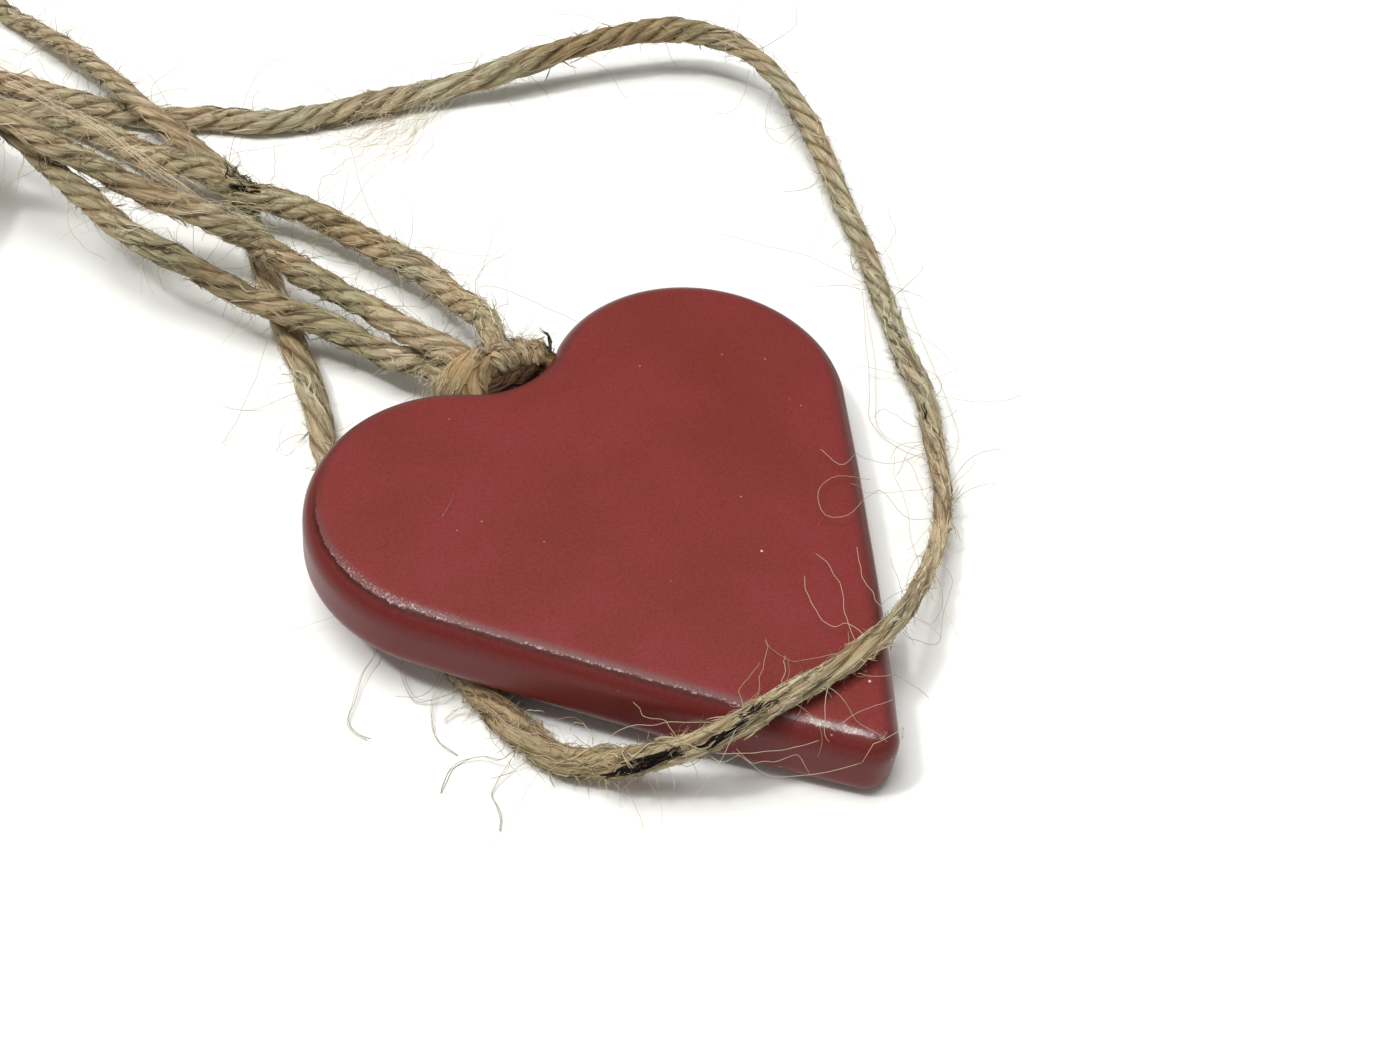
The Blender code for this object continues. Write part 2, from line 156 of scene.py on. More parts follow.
# %% Turns of the coil
COIL_CENTRE = (-46.0 * MM, 108.0 * MM)
COIL_WIDTH = 35.2 * MM
STRAND_PITCH = 3.15 * MM
COIL_PLACES = [(1, 0), (0, 0), (0, 1), (1, 1), (1, 2), (0, 2), (0, 3), (1, 3)]
COIL_ENTRY, COIL_EXIT = 50.0, 355.0
WHOLE_TURNS = 7
COIL_STEP_DEGREES = 10.0
SLIP_BEGINS = 0.86
TIE_ANGLE = 240.0
TIE_DIAMETER = 1.0 * MM
TIE_SQUEEZE = 1.3 * MM
PINCH_DEGREES, PINCH_FADE_DEGREES = 16.0, 10.0


def ease(x):
    """0 below 0, 1 above 1, and a soft step between."""
    x = np.clip(x, 0.0, 1.0)
    return x * x * (3 - 2 * x)


def coil_turns():
    """Points along all the turns, from the bottom outer one to the top outer one."""
    degrees = np.arange(COIL_ENTRY, COIL_EXIT + 360 * WHOLE_TURNS + 1, COIL_STEP_DEGREES)
    turns = (degrees - COIL_ENTRY) / 360.0
    index = np.floor(turns).astype(int)
    places = np.array(COIL_PLACES + COIL_PLACES[-1:], float)
    slip = ease((turns - index - SLIP_BEGINS) / (1 - SLIP_BEGINS))[:, None]
    place = places[index] * (1 - slip) + places[index + 1] * slip
    away = np.abs((degrees - TIE_ANGLE + 180) % 360 - 180)
    pinch = 1 - TIE_SQUEEZE / (2 * STRAND_PITCH) * ease((PINCH_DEGREES - away) / PINCH_FADE_DEGREES)
    sideways = (place[:, 0] - 0.5) * STRAND_PITCH * pinch
    height = STRAND_PITCH * 2 + (place[:, 1] - 1.5) * STRAND_PITCH * pinch
    radius = COIL_WIDTH / 2 + sideways
    angle = np.radians(degrees)
    x = COIL_CENTRE[0] + radius * np.cos(angle)
    y = COIL_CENTRE[1] + radius * np.sin(angle)
    return np.stack([x, y, height], 1)


line_route = np.concatenate([np.array(LEAD_ROUTE) * MM, coil_turns(), np.array(RUN_ROUTE) * MM])
loop_route = np.array(HANGING_LOOP_ROUTE) * MM
print("points on the line's route:", len(line_route))

# %% [markdown]
# ## From points to a strand
# A centripetal curve goes through every point and never loops back on itself, even where the points are
# unevenly spaced. Each strand then gets a frame that is carried along without turning, so that the twist of
# the twine can be added on top and stays even round every bend.

# %% Smooth path
CURVE_STEPS = 12


def curve_knots(four):
    """Where the curve passes four points, in steps of the square root of their distances."""
    steps = [math.sqrt(np.linalg.norm(b - a)) for a, b in zip(four, four[1:])]
    return np.concatenate([[0], np.cumsum(steps)])


def smooth_path(route, spacing):
    """Points a spacing apart on a smooth curve through the route."""
    padded = np.concatenate([[2 * route[0] - route[1]], route, [2 * route[-1] - route[-2]]])
    steps = np.linspace(0, 1, CURVE_STEPS + 1)[1:, None]
    fine = [route[:1]]
    for four in zip(padded, padded[1:], padded[2:], padded[3:]):
        knots = curve_knots(four)
        t = knots[1] + (knots[2] - knots[1]) * steps
        level = list(four)
        for width in (1, 2):
            level = [
                level[i] + (level[i + 1] - level[i]) * (t - knots[i]) / (knots[i + width] - knots[i])
                for i in range(len(level) - 1)
            ]
        share = (t - knots[1]) / (knots[2] - knots[1])
        fine.append(level[0] + (level[1] - level[0]) * share)
    fine = np.concatenate(fine)
    lengths = np.concatenate([[0], np.cumsum(np.linalg.norm(np.diff(fine, axis=0), axis=1))])
    wanted = np.linspace(0, lengths[-1], math.ceil(lengths[-1] / spacing) + 1)
    return np.stack([np.interp(wanted, lengths, fine[:, k]) for k in range(3)], 1)


def wander(along, scale, seed):
    """A smooth random value between -1 and 1 that changes over a distance."""
    picks = np.random.default_rng(seed).uniform(-1, 1, int(np.max(along) / scale) + 3)
    place = np.asarray(along) / scale
    low = np.clip(place.astype(int), 0, len(picks) - 2)
    share = ease(place - low)
    return picks[low] * (1 - share) + picks[low + 1] * share


RING_SPACING = 0.48 * MM
line_path = smooth_path(line_route, RING_SPACING)
loop_path = smooth_path(loop_route, RING_SPACING)
print("points on the smooth paths:", len(line_path), len(loop_path))

# %% [markdown]
# ## What jute twine is
# Four yarns are twisted into one cord, with a twist length of about 14 mm and leaning like the middle of an
# S. The yarns are pressed flat against each other, so the cord is nearly round with four narrow grooves.
# They are spun roughly: the cord swells, thins out, and is nearly untwisted where it lies over the tip. All
# this goes in the surface itself, as thicknesses and slack stretches at listed places.

# %% Twine surface
TWIST_LENGTH = 14.0 * MM
GROOVE_DEPTH = 0.22
YARNS = 4
COUNTER_TWIST = 0.68
UNEVEN_TWIST, UNEVEN_LENGTH = 0.34, 9.0 * MM
SLACK_FADE = 8.0 * MM
CORD_SWELL, CORD_SWELL_LENGTH = 0.05, 9.0 * MM
SMALL_SWELL, SMALL_SWELL_LENGTH = 0.05, 1.9 * MM
YARN_SWELL, YARN_SWELL_LENGTH = 0.09, 2.7 * MM
YARNS_APART = 0.05
# a place in mm, as a point or as a distance along, and the share of the full thickness there
LINE_THICKNESS = [
    ((1.8, 33.1, 9.6), 0.84), ((4.2, 44.7, 6.2), 1.02), ((-4.7, 77.6, 5.2), 1.04),
    ((-17.6, 110.8, 1.6), 0.92), (130, 0.95), (960, 0.95), ((-7.7, 134.4, 1.6), 0.82),
    ((-5.4, 101.2, 5.0), 0.80), ((-3.3, 77.7, 1.7), 0.94), ((-15.4, 42.4, 1.6), 0.98),
    ((-23.4, 2.0, 1.6), 0.96), ((-23.3, -4.5, 1.6), 1.08), ((-20.4, -12.8, 3.0), 0.98),
    ((-14.0, -20.0, 8.4), 0.80), ((-5.5, -22.3, 10.9), 0.76), ((6.5, -22.1, 10.1), 0.66),
    ((11.9, -20.4, 8.3), 0.62), ((17.0, -17.7, 6.3), 0.54), ((22.0, -14.7, 4.7), 0.58),
    ((31.2, -6.2, 2.3), 0.70), ((41.0, 9.5, 1.6), 0.80), ((52.6, 32.4, 2.0), 0.87),
    ((59.5, 58.0, 5.8), 0.82), ((54.4, 67.3, 6.3), 1.04), ((45.6, 71.8, 5.2), 0.90),
    ((36.3, 75.9, 3.9), 1.10), ((26.4, 80.2, 2.5), 0.90), ((16.3, 84.2, 1.6), 1.04),
    ((-2.2, 96.4, 1.6), 0.94),
]
# from, to, and the share of the twist that is left between them
LINE_SLACK = [
    ((-23.4, 2.0, 1.6), (21.0, -15.3, 5.0), 0.40),
    ((26.2, -11.5, 3.4), (41.0, 9.5, 1.6), 0.7),
    ((50.0, 69.5, 5.8), (20.0, 82.8, 1.8), 0.6),
]


class Strand:
    """A length of twine along a path. Its surface is asked for by the distance along and the angle around."""

    def __init__(
        self, points, seed, radius=TWINE_DIAMETER / 2, thickness=(), slack=(), twist=TWIST_LENGTH, yarns=YARNS
    ):
        self.points = points
        self.seed = seed
        self.radius = radius
        self.yarns = yarns
        self.tone = (1.0, 1.0, 1.0)
        self.along = np.concatenate([[0], np.cumsum(np.linalg.norm(np.diff(points, axis=0), axis=1))])
        self.length = float(self.along[-1])
        rows = [(self.nearest(place), factor) for place, factor in thickness] or [(0, 1)]
        self.thickness = np.interp(self.along, *zip(*rows))
        rate = 1 + UNEVEN_TWIST * wander(self.along, UNEVEN_LENGTH, seed + 5)
        for begin, finish, share in slack:
            fade_in = ease((self.along - self.nearest(begin)) / SLACK_FADE)
            fade_out = ease((self.nearest(finish) - self.along) / SLACK_FADE)
            rate *= 1 - (1 - share) * fade_in * fade_out
        self.turned = 2 * math.pi / twist * np.concatenate([[0], np.cumsum(rate[1:] * np.diff(self.along))])
        heading = np.gradient(points, axis=0)
        self.heading = heading / np.linalg.norm(heading, axis=1)[:, None]
        self.side = self.carried_side()
        self.over = np.cross(self.heading, self.side)

    def carried_side(self):
        """A direction square to the path at every point, which never turns about the path."""
        side = np.zeros_like(self.heading)
        start = np.array([0.05, 0.03, 1.0])
        for i, ahead in enumerate(self.heading):
            start = start - ahead * start.dot(ahead)
            start /= np.linalg.norm(start)
            side[i] = start
        return side

    def sample(self, values, along):
        return np.stack([np.interp(along, self.along, values[:, k]) for k in range(3)], -1)

    def groove(self, around):
        """0 on the back of a yarn and 1 in the groove between two."""
        gap = 2 * math.pi / self.yarns
        return np.abs((around + gap / 2) % gap - gap / 2) / (gap / 2)

    def skin(self, along, around):
        """The surface's distance from the path."""
        lump = 1 + CORD_SWELL * wander(along, CORD_SWELL_LENGTH, self.seed)
        lump = lump + SMALL_SWELL * wander(along, SMALL_SWELL_LENGTH, self.seed + 1)
        yarn = np.round(around / (2 * math.pi / self.yarns)).astype(int) % self.yarns
        for k in range(self.yarns):
            swell = YARN_SWELL * wander(along, YARN_SWELL_LENGTH, self.seed + 10 + k)
            lump = lump + np.where(yarn == k, swell, 0)
        depth = GROOVE_DEPTH * self.groove(around) ** 4 if self.yarns > 1 else 0
        return self.radius * (1 - depth) * lump * np.interp(along, self.along, self.thickness)

    def place(self, along, around, out):
        """Points at a distance out from the path, where the angle turns with the twist."""
        angle = around - np.interp(along, self.along, self.turned)
        middle = self.sample(self.points, along)
        spread = (
            self.sample(self.side, along) * np.cos(angle)[..., None]
            + self.sample(self.over, along) * np.sin(angle)[..., None]
        )
        return middle + spread * out[..., None]

    def facing(self, along, direction):
        """The angle around at which the surface looks in a direction."""
        direction = np.array(direction)
        across = self.sample(self.over, along) @ direction
        upward = self.sample(self.side, along) @ direction
        return np.arctan2(across, upward) + np.interp(along, self.along, self.turned)

    def untwisted(self, along, around, out):
        """Where the point would be in loose fibres, which run nearly straight along the cord."""
        angle = around - COUNTER_TWIST * np.interp(along, self.along, self.turned)
        yarn = np.round(around / (2 * math.pi / self.yarns)) % self.yarns
        return np.stack([out * np.cos(angle), out * np.sin(angle), along + yarn * YARNS_APART], -1)

    def nearest(self, place):
        """The distance along, in metres, of a point or of a distance given in millimetres."""
        if not isinstance(place, tuple):
            return place * MM
        gap = np.linalg.norm(self.points - np.array(place) * MM, axis=1)
        return float(self.along[gap.argmin()])


LOOP_THICKNESS = [(0, 0.95), (237, 0.95)]
line = Strand(line_path, seed=3, thickness=LINE_THICKNESS, slack=LINE_SLACK)
loop = Strand(loop_path, seed=41, thickness=LOOP_THICKNESS)
print("garland line:", round(line.length, 3), "m; hanging loop:", round(loop.length, 3), "m")

# %% [markdown]
# ## Where the twine's colour changes
# Jute isn't one colour: bark is left on it in dark flecks, some stretches are reddish and others greenish,
# and the bight at the knot shines like straw. A few listed spots, each with a reach and a tint, say where.
# One dark spot under the bar in the notch is a painted shade, and one pale spot on the loop strand by the
# coil is a painted light.

# %% Tinted spots: place in mm, reach in mm, tint
TINTED_SPOTS = [
    ((-4.0, 76.0, 6.0), 2.6, (0.42, 0.42, 0.36)),
    ((-9.5, 79.0, 5.0), 7.0, (1.00, 0.96, 0.90)),
    ((1.7, 62.5, 4.8), 7.0, (0.92, 0.87, 0.79)),
    ((3.9, 38.5, 7.4), 4.5, (1.20, 1.20, 1.15)),
    ((-5.0, -22.3, 10.9), 13.0, (0.97, 0.97, 0.93)),
    ((-20.5, -10.0, 3.0), 9.0, (0.99, 0.90, 0.80)),
    ((-23.3, -3.5, 1.6), 5.0, (0.80, 0.75, 0.68)),
    ((-21.2, 79.0, 11.0), 14.0, (0.97, 0.94, 0.91)),
    ((-15.8, 62.0, 7.8), 6.0, (0.62, 0.61, 0.55)),
    # painted light: a pale spot that lightens the loop strand by the coil
    ((-26.0, 101.5, 14.4), 3.6, (1.60, 1.64, 1.70)),
    ((-4.2, 44.2, 7.6), 3.5, (1.13, 1.12, 1.10)),
    ((-12.7, 70.8, 9.8), 3.5, (1.12, 1.12, 1.12)),
    ((-9.5, 50.5, 5.6), 6.0, (0.85, 0.83, 0.76)),
    ((-7.8, 58.6, 8.6), 4.0, (0.84, 0.83, 0.78)),
    ((24.0, -13.0, 4.0), 9.0, (1.28, 1.30, 1.33)),
    ((48.0, 70.5, 5.8), 11.0, (0.70, 0.67, 0.58)),
    ((-3.8, 31.6, 8.8), 2.1, (1.06, 0.89, 0.66)),
    ((30.6, -6.9, 2.4), 8.0, (0.96, 0.95, 0.93)),
    # painted shade: a dark spot under the bar in the notch
    ((-2.6, 29.3, 7.0), 1.3, (0.35, 0.27, 0.22)),
    ((4.6, 29.2, 8.0), 2.4, (1.00, 0.94, 0.82)),
]
TINT_GONE = 1.6


def tint_at(points):
    """The tint at points in metres: white beyond 1.6 reaches of every spot, full within 0.6."""
    tint = np.ones((*points.shape[:-1], 3))
    for middle, reach, color in TINTED_SPOTS:
        away = np.linalg.norm(points - np.array(middle) * MM, axis=-1) / (reach * MM)
        share = ease(TINT_GONE - away)[..., None]
        tint = tint * (1 - share) + np.array(color) * share
    return tint


print("tinted spots:", len(TINTED_SPOTS))

# %% [markdown]
# ## Meshes from rows of points
# A strand's mesh is a sleeve of rings, closed with a face at each end. Every ring starts at the same yarn,
# so the grooves follow the mesh's own edges and stay crisp. Each point also keeps three facts for the jute
# material: where it would be in untwisted fibres, how deep in a groove it is, and the tint of its place.

# %% Sleeves and bundles
TABLE_GAP = 0.02 * MM
TWINE_SIDES = 24
THREAD_SIDES = 3
NO_LENGTH = 1e-12
RARE_DIRECTION = np.array([0.31, -0.22, 0.93])


def new_object(name, corners, faces):
    mesh = bpy.data.meshes.new(name)
    mesh.from_pydata(corners.reshape(-1, 3).tolist(), [], faces)
    mesh.validate()
    mesh.shade_smooth()
    made = bpy.data.objects.new(name, mesh)
    bpy.context.scene.collection.objects.link(made)
    return made


def sleeve_faces(rings, sides, first=0):
    """Faces of a tube of rings, with a face at each end."""
    ring, side = np.meshgrid(np.arange(rings - 1), np.arange(sides), indexing="ij")
    low = first + ring * sides
    after = (side + 1) % sides
    quads = np.stack([low + side, low + after, low + sides + after, low + sides + side], -1)
    faces = quads.reshape(-1, 4).tolist()
    faces.append([first + k for k in reversed(range(sides))])
    faces.append([first + (rings - 1) * sides + k for k in range(sides)])
    return faces


def add_fact(made, name, values):
    """A value, a vector or a colour for every point of a mesh."""
    wide = {1: ("FLOAT", "value"), 3: ("FLOAT_VECTOR", "vector"), 4: ("FLOAT_COLOR", "color")}
    kind, field = wide[values.shape[-1]]
    made.data.attributes.new(name, kind, "POINT").data.foreach_set(field, values.astype(np.float32).ravel())


def add_tint(made, tint):
    add_fact(made, "tint", np.concatenate([tint, np.ones((len(tint), 1))], 1))


def strand_piece(name, strand, sides=TWINE_SIDES):
    """The cord itself, without loose fibres."""
    around = np.arange(sides) * 2 * math.pi / sides
    along, angle = np.meshgrid(strand.along, around, indexing="ij")
    out = strand.skin(along, angle)
    corners = strand.place(along, angle, out)
    corners[..., 2] = np.maximum(corners[..., 2], TABLE_GAP)
    made = new_object(name, corners, sleeve_faces(len(strand.along), sides))
    add_fact(made, "untwisted", strand.untwisted(along, angle, out).reshape(-1, 3))
    add_fact(made, "groove", (strand.groove(angle) ** 3).reshape(-1, 1))
    add_tint(made, tint_at(corners.reshape(-1, 3)) * strand.tone)
    return made


def bundle_piece(name, threads, radii, shade, sides=THREAD_SIDES, tint=None):
    """Many thin closed threads in one mesh, from an array of threads by points by 3."""
    count, points = threads.shape[:2]
    ahead = np.gradient(threads, axis=1)
    ahead /= np.linalg.norm(ahead, axis=2)[..., None] + NO_LENGTH
    first = np.cross(ahead, RARE_DIRECTION)
    first /= np.linalg.norm(first, axis=2)[..., None] + NO_LENGTH
    second = np.cross(ahead, first)
    angle = np.arange(sides) * 2 * math.pi / sides
    spread = first[:, :, None] * np.cos(angle)[:, None] + second[:, :, None] * np.sin(angle)[:, None]
    corners = threads[:, :, None] + spread * radii[:, :, None, None]
    faces = []
    for k in range(count):
        faces.extend(sleeve_faces(points, sides, k * points * sides))
    made = new_object(name, corners, faces)
    add_fact(made, "shade", np.repeat(shade, points * sides)[:, None])
    if tint is None:
        tint = tint_at(threads[:, points // 2])
    add_tint(made, np.repeat(tint, points * sides, axis=0))
    return made


garland_line = strand_piece("garland_line", line)
hanging_loop = strand_piece("hanging_loop_twine", loop)
print("faces on the line:", len(garland_line.data.polygons))

# %% [markdown]
# ## The heart
# The heart was cut from a rolled slab of clay, and its edges were wiped round with a wet sponge. The
# outline is made of arcs that run into each other: tip, flank, lobe and notch. Rings of this outline, taken
# in by more and more, make the rounded edges, and rings drawn towards the middle make a face that can bulge
# a little.

# %% Outline of the heart
HEART_WIDTH = 62.0 * MM
HEART_LENGTH = 62.2 * MM
HEART_THICKNESS = 8.2 * MM
LOBE_RADIUS = 16.0 * MM
NOTCH_RADIUS = 9.3 * MM
FLANK_RADIUS = 668.0 * MM
TIP_RADIUS = 2.8 * MM
TOP_EDGE_RADIUS = 2.6 * MM
BACK_EDGE_RADIUS = 2.4 * MM
TIP_STEPS, FLANK_STEPS, LOBE_STEPS, NOTCH_STEPS = 18, 72, 96, 30

lobe_centre = np.array([HEART_WIDTH / 2 - LOBE_RADIUS, HEART_LENGTH / 2 - LOBE_RADIUS])
tip_centre = np.array([0.0, TIP_RADIUS - HEART_LENGTH / 2])
notch_rise = math.sqrt((LOBE_RADIUS + NOTCH_RADIUS) ** 2 - lobe_centre[0] ** 2)
notch_centre = np.array([0.0, lobe_centre[1] + notch_rise])
notch_bottom = notch_centre[1] - NOTCH_RADIUS


def flank_centre():
    """The long arc of the flank touches the lobe and the tip from outside."""
    to_lobe, to_tip = FLANK_RADIUS - LOBE_RADIUS, FLANK_RADIUS - TIP_RADIUS
    between = np.linalg.norm(lobe_centre - tip_centre)
    forward = (lobe_centre - tip_centre) / between
    along = (to_tip**2 - to_lobe**2 + between**2) / (2 * between)
    across = math.sqrt(to_tip**2 - along**2)
    return tip_centre + forward * along + np.array([-forward[1], forward[0]]) * across


def arc(centre, radius, start, end, steps):
    angle = start + (end - start) * np.arange(steps) / steps
    return np.stack([centre[0] + radius * np.cos(angle), centre[1] + radius * np.sin(angle)], 1)


def bearing(start, end):
    return math.atan2(end[1] - start[1], end[0] - start[0])


def heart_outline(inset):
    """The outline counter-clockwise from the tip, taken in by a distance."""
    flank = flank_centre()
    flank_start, flank_end = bearing(flank, tip_centre), bearing(flank, lobe_centre)
    lobe_end = bearing(lobe_centre, notch_centre)
    right = np.concatenate(
        [
            arc(tip_centre, TIP_RADIUS - inset, -math.pi / 2, flank_start, TIP_STEPS),
            arc(flank, FLANK_RADIUS - inset, flank_start, flank_end, FLANK_STEPS),
            arc(lobe_centre, LOBE_RADIUS - inset, flank_end, lobe_end, LOBE_STEPS),
            arc(notch_centre, NOTCH_RADIUS + inset, lobe_end - math.pi, -math.pi / 2, NOTCH_STEPS),
        ]
    )
    bottom = np.array([[0.0, notch_bottom - inset]])
    return np.concatenate([right, bottom, right[:0:-1] * [-1, 1]])


outline = heart_outline(0.0)
notch_depth = outline[:, 1].max() - notch_bottom
print("outline points:", len(outline), "notch depth:", round(notch_depth / MM, 1), "mm")

# %% [markdown]
# ## How the heart lies
# The strand under the left lobe props the heart, so it leans on its right flank and tip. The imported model
# works the lean out from the twine's thickness and its distance from that edge, and so does this cell.

# %% Lean
PROP_LEVER = 39.0 * MM
PROP_CLEARANCE = 0.3 * MM
PROP_LIFT = TWINE_DIAMETER + 2 * PROP_CLEARANCE
lean_angle = math.asin(PROP_LIFT / PROP_LEVER)


def lean():
    """The turn about the edge that the heart rests on, from its flank's direction."""
    between = lobe_centre - tip_centre
    distance = np.linalg.norm(between)
    swing = -math.acos((TIP_RADIUS - LOBE_RADIUS) / distance)
    forward = between / distance
    outward = (
        forward[0] * math.cos(swing) - forward[1] * math.sin(swing),
        forward[0] * math.sin(swing) + forward[1] * math.cos(swing),
    )
    axis = Vector((-outward[1], outward[0], 0.0))
    return Matrix.Rotation(lean_angle, 4, axis)


tilt = lean()
tilt_rows = np.array(tilt.to_3x3())
print("the heart leans by", round(math.degrees(lean_angle), 1), "degrees")

# %% [markdown]
# ## The heart's mesh
# The clay is never quite flat: the face bulges by a third of a millimetre and has slow dips from the hand,
# and the edge wavers. These are in the mesh, because a bump in the material wouldn't bend the reflections
# at the outline.

# %% Rings of the heart
FACE_BULGE = 0.30 * MM
BULGE_POWER = 2.5
BACK_RINGS, WALL_RINGS, FACE_RINGS = 12, 6, 30
EDGE_STEPS = 9
RINGS_CLOSE_ON = np.array([0.0, 4.0 * MM])
WAVES = 7


def slow_waves(x, y, scale, seed):
    """A gentle random height made of a few crossing waves."""
    rng = np.random.default_rng(seed)
    total = np.zeros_like(x)
    for _ in range(WAVES):
        heading = rng.uniform(0, 2 * math.pi)
        length = scale * rng.uniform(0.7, 1.6)
        shift = rng.uniform(0, 2 * math.pi)
        forward = x * math.cos(heading) + y * math.sin(heading)
        total += np.sin(2 * math.pi * forward / length + shift)
    return total / WAVES


def heart_rings():
    """Rows of points from the middle of the back, round the edge, to the middle of the top."""
    quarter = np.linspace(0, math.pi / 2, EDGE_STEPS)
    rows = []
    middle = RINGS_CLOSE_ON
    for share in np.linspace(0.04, 0.97, BACK_RINGS):
        rim = heart_outline(BACK_EDGE_RADIUS)
        flat = middle + (rim - middle) * share
        rows.append(np.column_stack([flat, np.zeros(len(flat))]))
    for a in quarter:
        rim = heart_outline(BACK_EDGE_RADIUS * (1 - math.sin(a)))
        rows.append(np.column_stack([rim, np.full(len(rim), BACK_EDGE_RADIUS * (1 - math.cos(a)))]))
    for share in np.linspace(0, 1, WALL_RINGS)[1:-1]:
        rim = heart_outline(0.0)
        height = BACK_EDGE_RADIUS + (HEART_THICKNESS - BACK_EDGE_RADIUS - TOP_EDGE_RADIUS) * share
        rows.append(np.column_stack([rim, np.full(len(rim), height)]))
    for a in quarter:
        rim = heart_outline(TOP_EDGE_RADIUS * (1 - math.cos(a)))
        height = HEART_THICKNESS - TOP_EDGE_RADIUS * (1 - math.sin(a))
        rows.append(np.column_stack([rim, np.full(len(rim), height)]))
    for share in np.linspace(1, 0.03, FACE_RINGS)[1:]:
        rim = heart_outline(TOP_EDGE_RADIUS)
        flat = middle + (rim - middle) * share
        rise = FACE_BULGE * (1 - share**BULGE_POWER)
        rows.append(np.column_stack([flat, np.full(len(flat), HEART_THICKNESS + rise)]))
    return np.array(rows)


print("rings from back to face:", len(heart_rings()))

# %% [markdown]
# ## The knot's route and its channel
# The twine goes through a curved channel in the clay under the notch, and closes in a ring in front of it.
# One function gives the ring for both: the channel is a tube round it, and the knot follows it.

# %% Channel
KNOT_WIDTH = 11.2 * MM
KNOT_DEPTH = 10.0 * MM
KNOT_STANDOFF = 4.4 * MM
KNOT_SHIFT = 0.4 * MM
BAR_RISE = 2.0 * MM
CHANNEL_RADIUS = 1.85 * MM
SMALL_TURN = 0.02


def knot_middle(angle):
    """The ring that the knot follows in the heart's own frame: its far half is in the clay."""
    across = KNOT_SHIFT + KNOT_WIDTH / 2 * np.cos(angle)
    along = notch_bottom + KNOT_STANDOFF - KNOT_DEPTH / 2 + KNOT_DEPTH / 2 * np.sin(angle)
    height = HEART_THICKNESS / 2 + BAR_RISE * np.maximum(0.0, np.sin(angle))
    return np.stack([across, along, height], -1)


def knot_frame(angle):
    """A point on the ring, the direction onward and the direction outward."""
    ahead = knot_middle(angle + SMALL_TURN) - knot_middle(angle - SMALL_TURN)
    ahead /= np.linalg.norm(ahead)
    outward = np.cross([0.0, 0.0, 1.0], ahead)
    return knot_middle(angle), ahead, outward / np.linalg.norm(outward)


def channel_ring(radius, steps=60, sides=20):
    """A closed ring along the knot's route through the clay."""
    corners, faces = [], []
    for i in range(steps):
        middle, ahead, outward = knot_frame(2 * math.pi * i / steps)
        upward = np.cross(ahead, outward)
        for k in range(sides):
            a = 2 * math.pi * k / sides
            corners.append(middle + (outward * math.cos(a) + upward * math.sin(a)) * radius)
    for i in range(steps):
        for k in range(sides):
            j, m = (i + 1) % steps, (k + 1) % sides
            faces.append([i * sides + k, i * sides + m, j * sides + m, j * sides + k])
    return np.array(corners), faces


print("channel points:", len(channel_ring(CHANNEL_RADIUS)[0]))

# %% [markdown]
# ## Shape and place the heart
# The rings become one mesh. The knot's channel is cut out of it with a Boolean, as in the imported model, and
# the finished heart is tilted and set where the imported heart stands.

# %% Heart
DIP_DEPTH, DIP_LENGTH = 0.16 * MM, 30.0 * MM
EDGE_WAVER, EDGE_WAVER_LENGTH = 0.10 * MM, 17.0 * MM
WAVER_FADE = 4.0 * MM
heart_low, heart_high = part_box("heart")


def make_heart():
    rows = heart_rings()
    x, y, z = rows[..., 0], rows[..., 1], rows[..., 2]
    share = z / HEART_THICKNESS
    rows[..., 2] = z + DIP_DEPTH * slow_waves(x, y, DIP_LENGTH, 5) * ease(share * 2 - 1)
    waver = EDGE_WAVER * slow_waves(x, y, EDGE_WAVER_LENGTH, 8)
    rows[..., 0] += waver * np.sign(x) * ease(np.abs(x) / WAVER_FADE)
    heart = new_object("ceramic_heart", rows, sleeve_faces(rows.shape[0], rows.shape[1]))
    corners, faces = channel_ring(CHANNEL_RADIUS)
    channel = new_object("channel", corners, faces)
    cut = heart.modifiers.new("channel", "BOOLEAN")
    cut.operation = "DIFFERENCE"
    cut.solver = "EXACT"
    cut.object = channel
    bpy.context.view_layer.update()
    with_channel = heart.evaluated_get(bpy.context.evaluated_depsgraph_get())
    finished = bpy.data.meshes.new_from_object(with_channel)
    heart.modifiers.clear()
    heart.data = finished
    bpy.data.objects.remove(channel, do_unlink=True)
    return heart


def stand_heart(heart):
    """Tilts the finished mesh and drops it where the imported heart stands."""
    heart.data.transform(tilt)
    corners = np.array([v.co for v in heart.data.vertices])
    low, high = corners.min(0), corners.max(0)
    target_low, target_high = np.array(heart_low), np.array(heart_high)
    shift = (target_low + target_high) / 2 - (low + high) / 2
    shift[2] = target_low[2] - low[2]
    heart.data.transform(Matrix.Translation(shift))
    return shift


ceramic_heart = make_heart()
heart_shift = stand_heart(ceramic_heart)
ceramic_heart.data.shade_smooth()
print("heart faces:", len(ceramic_heart.data.polygons))
print("heart shifted by, in mm:", [round(float(v) / MM, 2) for v in heart_shift])


def to_table(points):
    """Heart's own frame to the table's."""
    return points @ tilt_rows.T + heart_shift


def to_heart(points):
    """Table's frame to the heart's own."""
    return (points - heart_shift) @ tilt_rows


# %% [markdown]
# ## The knot
# The ring of twine comes out of the clay as a short bar across the notch. A few loose turns are wrapped
# round the bar's right half. On its left a fat bight folds over, and its fibres shine like straw. A strand
# deeper in the notch has a painted shade. Each is a strand of its own, so each has its own fibres.

# %% Paths of the knot
RING_FROM, RING_TO, RING_STEP = -90, 268, 3.0
KNOT_SPACING = 0.3 * MM


def ring_path():
    return to_table(knot_middle(np.radians(np.arange(RING_FROM, RING_TO, RING_STEP))))


